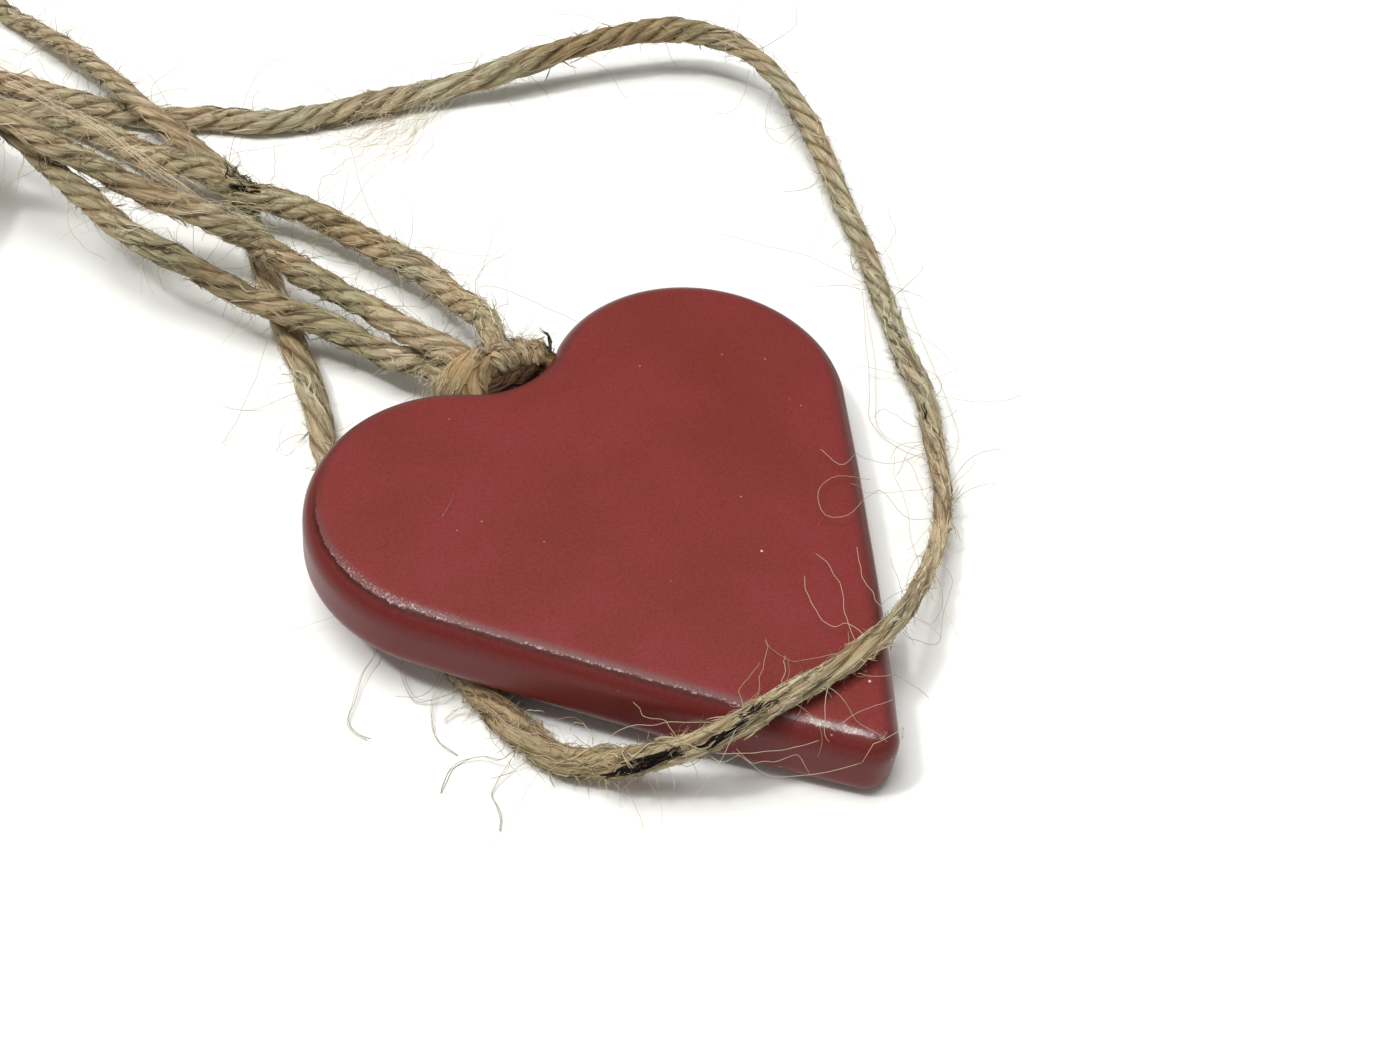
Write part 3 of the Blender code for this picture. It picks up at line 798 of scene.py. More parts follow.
def wrap_path(start, end, turns, radius, lead, points=60):
    """A path wound round the bar between two angles of the ring, in degrees."""
    rows = []
    for share in np.linspace(0, 1, points):
        middle, ahead, outward = knot_frame(math.radians(start + (end - start) * share))
        upward = np.cross(ahead, outward)
        a = 2 * math.pi * turns * share + lead
        rows.append(middle + (outward * math.cos(a) + upward * math.sin(a)) * radius)
    return to_table(np.array(rows))


def bent(route_mm):
    """A smooth path through points in millimetres."""
    return smooth_path(np.array(route_mm) * MM, KNOT_SPACING)


print("points on the knot's ring:", len(ring_path()))

# %% [markdown]
# ## Strands of the knot
# Five strands follow those paths. The bight is one thick yarn that is barely twisted. The ring and the deep
# strand lie in the shade of the notch and have a painted shade, a darker tone. All are joined in one
# mesh.

# %% Strands of the knot
WRAPS = {"start": 46, "end": 100, "turns": 3.2, "radius": 1.10 * MM, "lead": 0.4}
BIGHT = [
    (-6.0, 31.0, 6.2), (-5.2, 31.2, 7.9), (-3.7, 31.6, 8.9), (-2.1, 32.0, 9.2), (-0.9, 32.9, 8.7),
    (-0.4, 34.0, 7.6),
]
LEAD_TAIL = [(2.6, 34.6, 9.3), (1.8, 33.1, 9.6), (1.3, 31.8, 9.0), (1.2, 30.6, 7.8), (1.4, 29.8, 6.4)]
DEEP_STRAND = [
    (-2.9, 28.6, 5.2), (-1.6, 27.9, 5.6), (0, 27.7, 5.7), (2.1, 27.9, 5.6), (4.2, 28.9, 5.2),
    (6.0, 30.6, 4.8),
]
# painted shade: the deep strand and the ring are darker where the notch shades them
DEEP_STRAND_SHADE = (0.19, 0.115, 0.09)
RING_SHADE = (0.66, 0.55, 0.43)
BIGHT_THICKNESS = [(0, 0.56), (1.8, 0.82), (3.6, 0.92), (5.4, 0.80), (8.0, 0.52)]

deep_path = to_table(bent(DEEP_STRAND))
wraps_path = smooth_path(wrap_path(**WRAPS), KNOT_SPACING)
knot_strands = [
    Strand(smooth_path(ring_path(), 0.4 * MM), seed=71, radius=1.35 * MM),
    Strand(wraps_path, seed=81, radius=0.88 * MM, twist=8 * MM),
    Strand(bent(BIGHT), seed=83, radius=2.0 * MM, thickness=BIGHT_THICKNESS, twist=40 * MM, yarns=1),
    Strand(bent(LEAD_TAIL), seed=87, radius=1.15 * MM),
    Strand(deep_path, seed=85, radius=1.0 * MM),
]
# painted shade on the ring and the deep strand
knot_strands[0].tone = RING_SHADE
knot_strands[-1].tone = DEEP_STRAND_SHADE


def join(name, parts):
    """One object from several meshes that carry the same facts."""
    with bpy.context.temp_override(active_object=parts[0], selected_editable_objects=parts):
        bpy.ops.object.join()
    parts[0].name = name
    parts[0].data.name = name
    return parts[0]


KNOT_SIDES = 18
knot_parts = [strand_piece(f"knot_{k}", s, KNOT_SIDES) for k, s in enumerate(knot_strands)]
notch_knot = join("notch_knot", knot_parts)
print("knot faces:", len(notch_knot.data.polygons))

# %% [markdown]
# ## The coil's tie
# A thin two-ply yarn is pulled tight round the coil and holds its turns. It goes twice round the waist. Its
# path is a rounded square, because the bundle of turns is about twice as high as it is wide and fills its
# corners.

# %% Tie
TIE_TURNS = 2
TIE_POINTS = 97
TIE_SIDESTEP = 0.045
TIE_OFFSET = 0.62 * TIE_DIAMETER
TIE_SQUARENESS = 0.62
TIE_SIDES = 12


def tie_path():
    """A rounded square round the coil's section, wound twice and a little sideways."""
    t = np.linspace(0, TIE_TURNS, TIE_POINTS)
    angle = 2 * math.pi * t
    swing = math.radians(TIE_ANGLE) + (t - 1) * TIE_SIDESTEP
    half_width = STRAND_PITCH - TIE_SQUEEZE / 2 + TIE_OFFSET
    half_height = STRAND_PITCH * 2 - TIE_OFFSET
    sideways = np.sign(np.cos(angle)) * np.abs(np.cos(angle)) ** TIE_SQUARENESS
    upward = np.sign(np.sin(angle)) * np.abs(np.sin(angle)) ** TIE_SQUARENESS
    across = half_width * sideways
    height = STRAND_PITCH * 2 + half_height * upward
    radius = COIL_WIDTH / 2 + across
    x = COIL_CENTRE[0] + radius * np.cos(swing)
    y = COIL_CENTRE[1] + radius * np.sin(swing)
    return np.stack([x, y, height], 1)


tie = Strand(smooth_path(tie_path(), 0.3 * MM), seed=91, radius=TIE_DIAMETER / 2, twist=5 * MM, yarns=2)
coil_tie = strand_piece("coil_tie_yarn", tie, TIE_SIDES)
print("length of the tie:", round(tie.length / MM), "mm")

# %% [markdown]
# ## Keep clear
# Loose fibres may not go through the table or the clay, and they stay near the cord. A point that would go
# in is set back on the surface, and a hair that would leave the model's box is left out.

# %% Keep clear
BOX_MARGIN = 8.5 * MM
HALFWAY_UP = 3.5 * MM
SKIN_GAP = 0.1 * MM
THREAD_TABLE_GAP = 0.06 * MM


def inside_heart(local):
    """Whether points, seen from above, lie over the heart."""
    x, y = np.abs(local[..., 0]), local[..., 1]
    in_lobe = np.hypot(x - lobe_centre[0], y - lobe_centre[1]) < LOBE_RADIUS
    rise = lobe_centre - tip_centre
    along = ((x - tip_centre[0]) * rise[0] + (y - tip_centre[1]) * rise[1]) / (rise @ rise)
    away = ((x - tip_centre[0]) * rise[1] - (y - tip_centre[1]) * rise[0]) / np.linalg.norm(rise)
    in_flank = (along > -0.05) & (along < 1) & (away < TIP_RADIUS + (LOBE_RADIUS - TIP_RADIUS) * along)
    under_notch = np.hypot(x, y - notch_centre[1]) > NOTCH_RADIUS
    between = (x < lobe_centre[0]) & (y > lobe_centre[1]) & (y < notch_centre[1]) & under_notch
    return in_lobe | (in_flank & (y < lobe_centre[1] + 2 * MM)) | between


def keep_clear(points):
    """Sets points that are in the table or in the clay back on the surface."""
    local = to_heart(points)
    over = inside_heart(local)
    upper = over & (local[..., 2] > HALFWAY_UP)
    lower = over & ~upper
    top = HEART_THICKNESS + FACE_BULGE + 2 * SKIN_GAP
    local[..., 2] = np.where(upper, np.maximum(local[..., 2], top), local[..., 2])
    local[..., 2] = np.where(lower, np.minimum(local[..., 2], -SKIN_GAP), local[..., 2])
    points = to_table(local)
    points[..., 2] = np.maximum(points[..., 2], THREAD_TABLE_GAP)
    return points


def in_box(threads):
    """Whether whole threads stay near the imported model's box."""
    low, high = np.array(cad_box[0]) - BOX_MARGIN, np.array(cad_box[1]) + BOX_MARGIN
    return ((threads > low) & (threads < high)).all(axis=(1, 2))


print("loose fibres stay within", BOX_MARGIN / MM, "mm of the packed model's box")

# %% [markdown]
# ## Loose fibres
# Jute fibres are up to a few centimetres long and only partly caught in the twist. Most lie on the yarns,
# so they are drawn in the strand's own terms: a distance along, an angle that drifts, and a lift that grows
# at the free ends. The same function lays the dark flecks of bark. Thousands of threads go in one mesh.

# %% Threads that lie on the yarns
FIBRE_POINTS = 8
CLUMP = 3
SHARE_WITH_FREE_END = 0.45
FREE_PART = 0.3
SUNK = 0.015 * MM
MAY_BE_MOVED = 0.3 * MM
KEPT_FROM_ENDS = 0.05 * MM
CLUMP_APART, CLUMP_OPENS = 0.07, 0.06
UNEVEN = (0.6, 1.4)


def lying_threads(
    strand, start, end, per_mm, seed, lift=0.05, thick=0.050, reach=(2.0, 7.5), toward=None, spread=0.5,
    ragged=0.24, ends=0.24,
):
    """Threads, their radii and their shade. Lengths, lifts and thicknesses are in millimetres."""
    rng = np.random.default_rng(seed)
    count = int((end - start) / MM * per_mm / CLUMP)
    t = np.linspace(0, 1, FIBRE_POINTS)

    def some(spread_of_values):
        return rng.normal(0, spread_of_values, count)[:, None]

    first = rng.uniform(start, end, count)[:, None]
    length = rng.uniform(*reach, count)[:, None] * MM
    along = np.clip(first + (t - 0.5) * length, KEPT_FROM_ENDS, strand.length - KEPT_FROM_ENDS)
    turned = np.interp(along, strand.along, strand.turned)
    middle = turned[:, FIBRE_POINTS // 2][:, None]
    around = rng.uniform(0, 2 * math.pi, count)[:, None]
    if toward is not None:
        around = strand.facing(first[:, 0], toward)[:, None] + some(spread)
    straighten = COUNTER_TWIST + rng.standard_t(3, count)[:, None] * ragged
    around = around + (turned - middle) * straighten + some(ragged) * t * t
    around = around + some(ragged * 0.7) * np.sin(2 * math.pi * (1.4 * t + rng.random(count)[:, None]))
    raised = np.abs(some(lift)) * MM * (1 + np.sin(2 * math.pi * (t + rng.random(count)[:, None])))
    head = rng.random(count)[:, None] < SHARE_WITH_FREE_END
    tail = rng.random(count)[:, None] < SHARE_WITH_FREE_END
    tip_lift = rng.gamma(1.3, ends, count)[:, None] * MM
    loose = head * ease((FREE_PART - t) / FREE_PART) + tail * ease((t - 1 + FREE_PART) / FREE_PART)
    same = np.repeat(np.arange(count), CLUMP)
    along, around, out = along[same], around[same], (raised + tip_lift * loose - SUNK)[same]
    around = around + rng.normal(0, CLUMP_APART, len(same))[:, None]
    around = around + rng.normal(0, CLUMP_OPENS, len(same))[:, None] * t
    out = strand.skin(along, around) + out * rng.uniform(*UNEVEN, len(same))[:, None]
    laid = strand.place(along, around, out)
    threads = keep_clear(laid)
    free = np.abs(threads - laid).max(axis=(1, 2)) < MAY_BE_MOVED
    radii = rng.uniform(*UNEVEN, len(same))[:, None] * thick * MM * (1 - 0.7 * np.abs(2 * t - 1) ** 3)
    shade = np.clip(rng.random(count)[same] + rng.normal(0, 0.08, len(same)), 0, 1)
    return threads[free], radii[free], shade[free]


sample_threads = lying_threads(loop, 0, 10 * MM, 9.0, 1)[0]
print("threads on a centimetre of the loop:", len(sample_threads))

# %% [markdown]
# ## Where the fibres lie
# Each stretch of the twine has its own density: dense where the camera is close, thin on the coil. Under
# the lobe the twine is frayed, and over the tip it is smooth. A table says so, and a loop makes the meshes.

# %% Fibres on each stretch
line_leaves_view = line.nearest((-17.6, 110.8, 1.6))
line_comes_back = line.nearest((-7.7, 134.4, 1.6))
coil_start, coil_end = line_leaves_view + 6 * MM, line_comes_back - 6 * MM
FRONT = line.nearest((-23.4, 5.0, 1.6)), line.nearest((-14.0, -20.0, 8.4))
OVER_TIP = FRONT[1], line.nearest((44.3, 15.9, 1.6))
FRAYED = {"lift": 0.12, "thick": 0.033, "reach": (1.5, 6.0), "ragged": 0.42}
SMOOTH = {"thick": 0.038, "ends": 0.10}
# name, strand, from and to along it, threads per mm, seed, and what differs from plain fibres
FIBRES = [
    ("lead_fibres", line, 0, coil_start, 9.5, 101, {"lift": 0.08}),
    ("coil_fibres", line, coil_start, coil_end, 0.9, 102, {}),
    ("run_fibres", line, coil_end, line.length, 6.0, 103, {}),
    ("front_fibres", line, *FRONT, 15.0, 105, FRAYED),
    ("tip_fibres", line, *OVER_TIP, 12.0, 106, SMOOTH),
    ("loop_fibres", loop, 0, loop.length, 9.0, 104, {}),
]
KNOT_END = 0.3 * MM
KNOT_FIBRES = {"lift": 0.12, "reach": (1.5, 5.0), "thick": 0.040}
lying = {}
for name, *where, how in FIBRES:
    lying[name] = bundle_piece(name, *lying_threads(*where, **how))


def knot_fibres():
    """Fibres on all strands of the knot, each with its strand's tone."""
    parts = []
    for k, strand in enumerate(knot_strands):
        ends = KNOT_END, strand.length - KNOT_END
        threads, radii, shades = lying_threads(strand, *ends, 20.0, 110 + k, **KNOT_FIBRES)
        tints = tint_at(threads[:, FIBRE_POINTS // 2]) * strand.tone
        parts.append((threads, radii, shades, tints))
    threads, radii, shades, tints = (np.concatenate(rows) for rows in zip(*parts))
    return bundle_piece("knot_fibres", threads, radii, shades, tint=tints)


lying["knot_fibres"] = knot_fibres()
print("fibre faces:", {name: len(made.data.polygons) for name, made in lying.items()})

# %% [markdown]
# ## Bark
# Flecks of dark bark sit in the twine where it passes over the heart's tip, and a tuft of it stands up
# where two strands cross. They are the same lying threads, thicker and set only on the side that shows.

# %% Bark flecks: from and to in mm, threads per mm, side, spread, thickness, reach
BARK_FLECKS = [
    ((-17.4, -16.8, 5.5), (-15.4, -19.0, 7.3), 11.0, (-0.20, -0.62, 0.76), 0.13, 0.12, (2.0, 4.5)),
    ((-18.9, -15.0, 4.3), (-17.2, -17.0, 5.7), 4.5, (-0.34, -0.76, 0.55), 0.13, 0.10, (3.0, 6.0)),
    ((-12.9, -20.7, 9.2), (-11.3, -21.4, 10.1), 9.0, (-0.45, -0.65, 0.60), 0.16, 0.10, (1.5, 4.0)),
    ((-10.4, -21.7, 10.4), (-7.6, -22.1, 10.8), 3.6, (-0.20, -0.15, 0.97), 0.20, 0.06, (1.2, 3.4)),
    ((-3.6, 76.0, 5.2), (-2.6, 73.0, 5.1), 5.0, (0.0, 0.2, 0.97), 0.5, 0.10, (1.5, 4.0)),
    ((35.8, 0.2, 1.7), (36.6, 1.2, 1.7), 3.0, (-0.5, -0.3, 0.8), 0.15, 0.05, (2.0, 4.0)),
    ((42.0, 11.5, 1.6), (42.8, 13.0, 1.6), 3.0, (-0.5, -0.3, 0.8), 0.15, 0.05, (2.0, 4.0)),
]
BARK_LIFT = 0.14
BARK_RAGGED = 0.08
bark = []
for k, (begin, finish, per_mm, side, spread, thick, reach) in enumerate(BARK_FLECKS):
    ends = sorted((line.nearest(begin), line.nearest(finish)))
    how = {"lift": BARK_LIFT, "thick": thick, "reach": reach, "toward": side, "spread": spread}
    bark.append(lying_threads(line, *ends, per_mm, 130 + k, **how, ragged=BARK_RAGGED))
bark_flecks = bundle_piece("bark_flecks", *(np.concatenate(rows) for rows in zip(*bark)))
print("bark faces:", len(bark_flecks.data.polygons))

# %% [markdown]
# ## Hairs
# Other fibres stand off the twine in long curls. Each starts on the surface, heads off partly along the
# yarn, and turns a little at every step, as a hair does. Short fuzz is made the same way with less reach.

# %% Threads that stand off
ALONG_THE_YARN = (0.2, 1.3)
OFF_THE_YARN = (0.25, 0.9)
ACROSS_THE_YARN = 0.35
BEND_KEPT, BEND_ADDED = 0.8, 0.55
SAG = 0.03
ROOT_IN_SKIN = 0.97


def standing_threads(strand, start, end, per_mm, seed, reach=(2.0, 11.0), thick=0.032, points=16, curl=0.14):
    """Curled threads off the surface, their radii and their shade."""
    rng = np.random.default_rng(seed)
    count = int((end - start) / MM * per_mm)
    along = rng.uniform(start, end, count)
    around = rng.uniform(0, 2 * math.pi, count)
    root = strand.place(along, around, strand.skin(along, around) * ROOT_IN_SKIN)
    outward = root - strand.place(along, around, np.zeros(count))
    outward /= np.linalg.norm(outward, axis=1)[:, None]
    ahead = strand.sample(strand.heading, along) * rng.choice([-1, 1], count)[:, None]
    across = np.cross(outward, ahead)
    heading = ahead * rng.uniform(*ALONG_THE_YARN, count)[:, None]
    heading = heading + outward * rng.uniform(*OFF_THE_YARN, count)[:, None]
    heading += across * rng.normal(0, ACROSS_THE_YARN, count)[:, None]
    heading /= np.linalg.norm(heading, axis=1)[:, None]
    share = rng.gamma(1.6, 0.28, count).clip(0.02, 1.3)
    step = (reach[0] + (reach[1] - reach[0]) * share)[:, None] * MM / points
    bend = rng.normal(0, 1, (count, 3))
    rows = [root]
    for _ in range(points - 1):
        bend = bend * BEND_KEPT + rng.normal(0, BEND_ADDED, (count, 3))
        heading = heading + bend * curl
        heading[:, 2] -= SAG
        heading /= np.linalg.norm(heading, axis=1)[:, None]
        rows.append(rows[-1] + heading * step)
    threads = np.stack(rows, 1)
    threads[:, 1:] = keep_clear(threads[:, 1:])
    radii = rng.uniform(0.7, 1.3, count)[:, None] * thick * MM * np.linspace(1, 0.5, points)
    kept = in_box(threads)
    return threads[kept], radii[kept], rng.random(count)[kept]


sample_hairs = standing_threads(loop, 0, 10 * MM, 1.0, 1)[0]
print("hairs on a centimetre of the loop:", len(sample_hairs))

# %% [markdown]
# ## Where the hairs stand
# Every free stretch has a few long hairs and many short ones. A table says how many, and a loop makes the
# meshes. Fuzz on the knot would cover the heart's face, so what would lie over the heart is left out there.

# %% Hairs on each stretch
FUZZ = {"reach": (0.4, 2.4), "thick": 0.030, "points": 6, "curl": 0.28}
# name, strand, from and to along it, threads per mm, seed, and what differs from plain hairs
HAIRS = [
    ("lead_hairs", line, 0, line_leaves_view, 1.6, 201, {}),
    ("lead_fuzz", line, 0, line_leaves_view, 12.0, 211, FUZZ),
    ("coil_hairs", line, coil_start, coil_end, 0.25, 202, {}),
    ("run_hairs", line, coil_end, line.length, 0.8, 203, {}),
    ("run_fuzz", line, coil_end, line.length, 5.0, 213, FUZZ),
    ("front_fuzz", line, *FRONT, 11.0, 215, FUZZ),
    ("loop_hairs", loop, 0, loop.length, 1.0, 204, {}),
    ("loop_fuzz", loop, 0, loop.length, 8.0, 214, FUZZ),
]
KNOT_FUZZ = dict(FUZZ, thick=0.036)
hairs = {}
for name, *where, how in HAIRS:
    hairs[name] = bundle_piece(name, *standing_threads(*where, **how))


def knot_fuzz():
    """Short hairs on the wraps, the bight and the lead's tail, none of them over the heart."""
    parts = []
    for k, strand in enumerate(knot_strands[1:4]):
        ends = KNOT_END, strand.length - KNOT_END
        parts.append(standing_threads(strand, *ends, 16.0, 221 + k, **KNOT_FUZZ))
    threads, radii, shades = (np.concatenate(rows) for rows in zip(*parts))
    free = ~inside_heart(to_heart(threads)).any(axis=1)
    return bundle_piece("knot_fuzz", threads[free], radii[free], shades[free])


hairs["knot_fuzz"] = knot_fuzz()
print("hair faces:", {name: len(made.data.polygons) for name, made in hairs.items()})

# %% [markdown]
# ## Hairs along listed points
# A few long hairs are easy to recognise, such as the loop that reaches over the right flank, and those that
# lie on the table before the left lobe, which are greyer. They are laid through listed points, as the
# routes of the twine were. Many copies of one hair, spread at its end, make a tuft.

# %% Long hairs, in millimetres
LONG_HAIRS = [
    [(18.8, -0.4, 9.4), (19.1, -3.2, 9.3), (21.5, -2.6, 8.6), (24.5, -1.5, 5.0), (27.1, -2.7, 3.4),
     (31, -3.4, 3.2)],
    [(20, -6.2, 8.9), (17.5, -4.1, 9.4), (14.6, -4.5, 9.6), (13.0, -7.4, 9.5), (14.8, -8.6, 9.3),
     (18.2, -7.8, 9), (21.7, -6.8, 6.5), (22.7, -9.5, 4.2), (24.6, -11.4, 4.2)],
    [(8.7, -10.7, 10), (8.6, -12.5, 10), (8.1, -14.5, 10), (6.8, -16.6, 10), (5.3, -19.0, 10),
     (4.3, -21.2, 10)],
    [(5.7, -12.3, 10), (3.9, -15.6, 10), (3.9, -18.4, 9.8), (5.2, -18.8, 9.8), (5.6, -21.3, 9.8)],
    [(12.6, -12.4, 9.6), (11.3, -14.2, 9.5), (10.3, -16.2, 9.5), (9.8, -18.1, 9.4), (9.5, -20.6, 9.4)],
    [(27.9, -2.3, 4), (26.0, -4.4, 4), (23.9, -8.5, 4), (21.2, -12.0, 4), (19.4, -15.1, 4),
     (16.4, -16.1, 5)],
    [(21, -15.8, 5), (20.8, -18.2, 4), (17.3, -20.7, 3), (15.3, -22.6, 3), (13.2, -22.8, 4),
     (9.8, -22.2, 8)],
    [(12.0, -20.4, 8), (14.2, -21.5, 5), (15.4, -22.6, 3)],
    [(2.2, -24, 9.7), (3.7, -25.3, 9.5), (5.5, -26, 8.6), (7.9, -28.2, 5.5)],
    [(36.1, -6.7, 1.5), (33.5, -7.8, 2), (30.1, -8.7, 2.8)],
    [(29.3, -2.6, 3), (28.7, -4.8, 3), (27.5, -7.1, 3), (26.7, -9.2, 3)],
    [(3.0, -27.9, 9.2), (1.3, -27.5, 9.5), (-1.3, -27.3, 9.8), (-3.5, -27.0, 9.8), (-5, -24.5, 10)],
    [(2.8, -30, 6), (0.9, -30.5, 6.5), (-3.3, -29.5, 6), (-5.8, -28, 5.4), (-9.4, -25.2, 5),
     (-11.4, -22, 7)],
    [(-4.9, -26.6, 8.2), (-7.0, -25.9, 8.2), (-8.9, -25, 8.2), (-12.0, -22.8, 8.2), (-13.4, -21.7, 8.4)],
    [(-6.7, -27.4, 5), (-6.6, -26.6, 6), (-7.0, -26, 7), (-8.3, -25.4, 7), (-10.7, -24, 7),
     (-11.5, -22.4, 8)],
    [(-2.6, -16, 10.9), (-3.7, -17.4, 11), (-5.3, -18.7, 11), (-7.9, -20.8, 11)],
    [(-2.4, -18.6, 11), (-3.5, -19.9, 11), (-5.2, -21.3, 11.2)],
    [(-4.6, -17.9, 10.8), (-6.9, -18.4, 10.9), (-8.4, -19.1, 10.8), (-9.3, -20.8, 10.6)],
    [(-15.6, -12.6, 8.4), (-15.8, -14.3, 8.3), (-14.5, -16, 8), (-14.8, -17.2, 7.8), (-14.6, -18.6, 7.6)],
    [(-19.7, -13.4, 4), (-18.5, -13, 6), (-16, -14.5, 7.2), (-13, -17.3, 8), (-11.6, -19.5, 9)],
    [(-20.0, -8.2, 3), (-19.2, -8.6, 4), (-19, -9.6, 4), (-19.2, -10.9, 3.4)],
    [(56.1, 28.8, 2), (53.8, 24.9, 2.5), (52.0, 23.5, 3), (49.0, 22.1, 3)],
    [(51.6, 27.9, 2.5), (50.6, 23.0, 2), (47.3, 15.5, 1), (43.1, 7.4, 1), (39.3, -0.1, 1),
     (37.6, -2.6, 1.5), (35.1, -4.7, 2), (31.6, -6.6, 3)],
    [(38.2, 38.4, 1), (40.4, 33.7, 1.5), (42.6, 29.1, 2), (43.9, 23.7, 2.5), (44.6, 18.2, 3)],
    [(43.7, 19.8, 2.5), (38.6, 13.4, 1.5), (34.1, 7.6, 1), (31.9, 5.4, 1), (30.7, 1.6, 1), (31.8, -4.2, 2)],
    [(43.2, 18.3, 2), (38.7, 11.9, 1), (34.2, 7.1, 0.8), (31.5, 3.5, 0.8), (31.8, -0.2, 1),
     (32.8, -3.6, 2)],
    [(31.7, 4.6, 1.5), (32.7, 4.8, 1.8), (33.5, 3.8, 2), (33.5, 1.7, 2), (34.4, 0.4, 2)],
    [(47.1, 18.6, 3.4), (45.1, 18.0, 3.9), (42.3, 17.1, 3.4)],
    [(36.6, -0.6, 2.4), (37.8, -0.5, 2), (39.8, -0.2, 1.5)],
    [(-22.6, -4.9, 2.4), (-20.2, -6.4, 2.8), (-18.6, -7.3, 2.6), (-18, -8.8, 2), (-18.4, -9.9, 1)],
    [(8.1, 70.3, 9), (5.2, 63.9, 8.5), (2.9, 56.5, 8), (0.9, 49.6, 7), (-0.8, 46.8, 6)],
    [(-0.2, 57.3, 6.8), (1.3, 51.7, 7.6), (2.9, 45.8, 8), (3, 43.2, 8.4), (2.4, 39.6, 9.6)],
    [(7.5, 72.2, 4), (4.2, 70.7, 6), (1.2, 66.9, 6.4)],
    [(2.8, 78.7, 6), (0.4, 74.8, 7), (-2.4, 70.9, 6.8)],
    [(-13.2, 55.4, 2.6), (-17.8, 51.2, 1.5), (-21.1, 48.9, 1), (-25.1, 46.1, 0.4)],
    [(-6.2, 33.4, 7), (-11, 34.5, 6), (-16, 34, 4), (-21, 32.5, 1.5), (-24.5, 30.5, 0.5)],
    [(-1.9, 31.9, 11), (2.9, 36.3, 11), (4.6, 39.5, 11), (5.9, 38.5, 11), (8.4, 32.7, 11),
     (8.6, 27.2, 12.4)],
    [(0, 49.2, 3.8), (2.6, 47.9, 3), (4.2, 46.9, 4.6)],
    [(-21.6, 82.8, 9.6), (-23.4, 80.3, 7.6), (-23.7, 77.5, 6), (-22.3, 74.6, 5)],
    [(-13.0, 105.5, 10), (-13.7, 100.6, 10), (-15.1, 95.2, 10)],
    [(56.7, 58.2, 7.6), (57.7, 56.2, 8.2), (58.9, 54.3, 8)],
    [(52.5, 56.2, 1), (53.3, 54.4, 1.6), (55.4, 54.5, 3), (58.3, 56.8, 4.6)],
    [(58.3, 52.5, 3.6), (55.2, 49.9, 1.5), (54.8, 46.6, 1), (57.4, 45.8, 3)],
    [(59.3, 67.6, 5), (58.9, 64.9, 7), (58.2, 62.6, 7.2)],
]
FLOOR_HAIRS = [
    [(-23, 12.8, 1.6), (-27, 12.7, 1.3), (-29.5, 11.6, 1.2), (-31.2, 10.5, 1), (-33.1, 8.7, 0.8),
     (-35, 7.1, 0.5), (-35, 5.7, 0.4), (-34.5, 4.5, 0.3)],
    [(-23.2, 10.5, 1.4), (-27.2, 9.4, 1), (-28.3, 7.1, 0.8), (-28.5, 5, 0.7), (-27.1, 4, 0.8),
     (-24, 2.9, 1.8)],
    [(-23, 6.6, 1.6), (-24.8, 6, 1.2), (-27.5, 3.9, 0.8), (-28.8, 2.2, 0.5), (-29.6, 0.2, 0.4),
     (-29, -2.4, 0.3)],
    [(-24.2, -6.6, 2.4), (-26.3, -6, 1.6), (-28.1, -3.6, 0.8), (-30.1, -3.1, 0.4), (-31.6, -4, 0.3),
     (-32.6, -4.6, 0.3)],
    [(-24.6, -6.4, 2.2), (-28.1, -7.4, 0.6), (-29.2, -8.1, 0.4), (-29.6, -10.1, 0.3), (-30.8, -11.6, 0.3)],
    [(-24, 0.4, 2.4), (-25.1, 0.4, 2), (-26.3, 1.4, 1), (-27.8, 1.3, 0.5)],
    [(-21.4, -7.4, 2.6), (-22, -5.8, 2.4), (-21.7, -3.9, 2.6), (-20.7, -5.1, 3)],
]
DARK_BITS = [
    [(5.3, 27.9, 9.7), (5.9, 28.6, 10.8), (5.6, 29.0, 11.8), (5.2, 29.3, 12.2)],
    [(-0.4, 30.8, 10.2), (-0.6, 30.9, 10.9)],
    [(0.2, 30.4, 10.2), (0.1, 30.3, 10.9)],
]
BARK_TUFT = [
    [(-5.2, 76.6, 5.8), (-4.5, 77.3, 6.6), (-4.3, 78.0, 6.9)],
    [(-4.8, 76.2, 6.0), (-3.9, 76.8, 6.7), (-3.0, 77.0, 7.0)],
    [(-5.0, 77.2, 5.6), (-4.9, 78.0, 6.1), (-5.4, 78.9, 6.2)],
    [(-4.4, 75.8, 6.2), (-3.6, 75.6, 6.7), (-2.7, 75.7, 6.6)],
    [(-4.2, 75.0, 6.2), (-3.2, 74.2, 6.4), (-2.4, 73.2, 6.1)],
]

# %% [markdown]
# ## Threads along the routes
# Each route becomes a smooth path with points at even distances. Every thread also waves a little, and the
# copies of one thread share its root and drift apart towards its end.

# %% Threads along listed routes
HAIR_SPACING = 0.1 * MM
WAVE_LENGTH = 0.13
SPREAD_POWER = 0.7
ROOT_SPREAD = 0.18


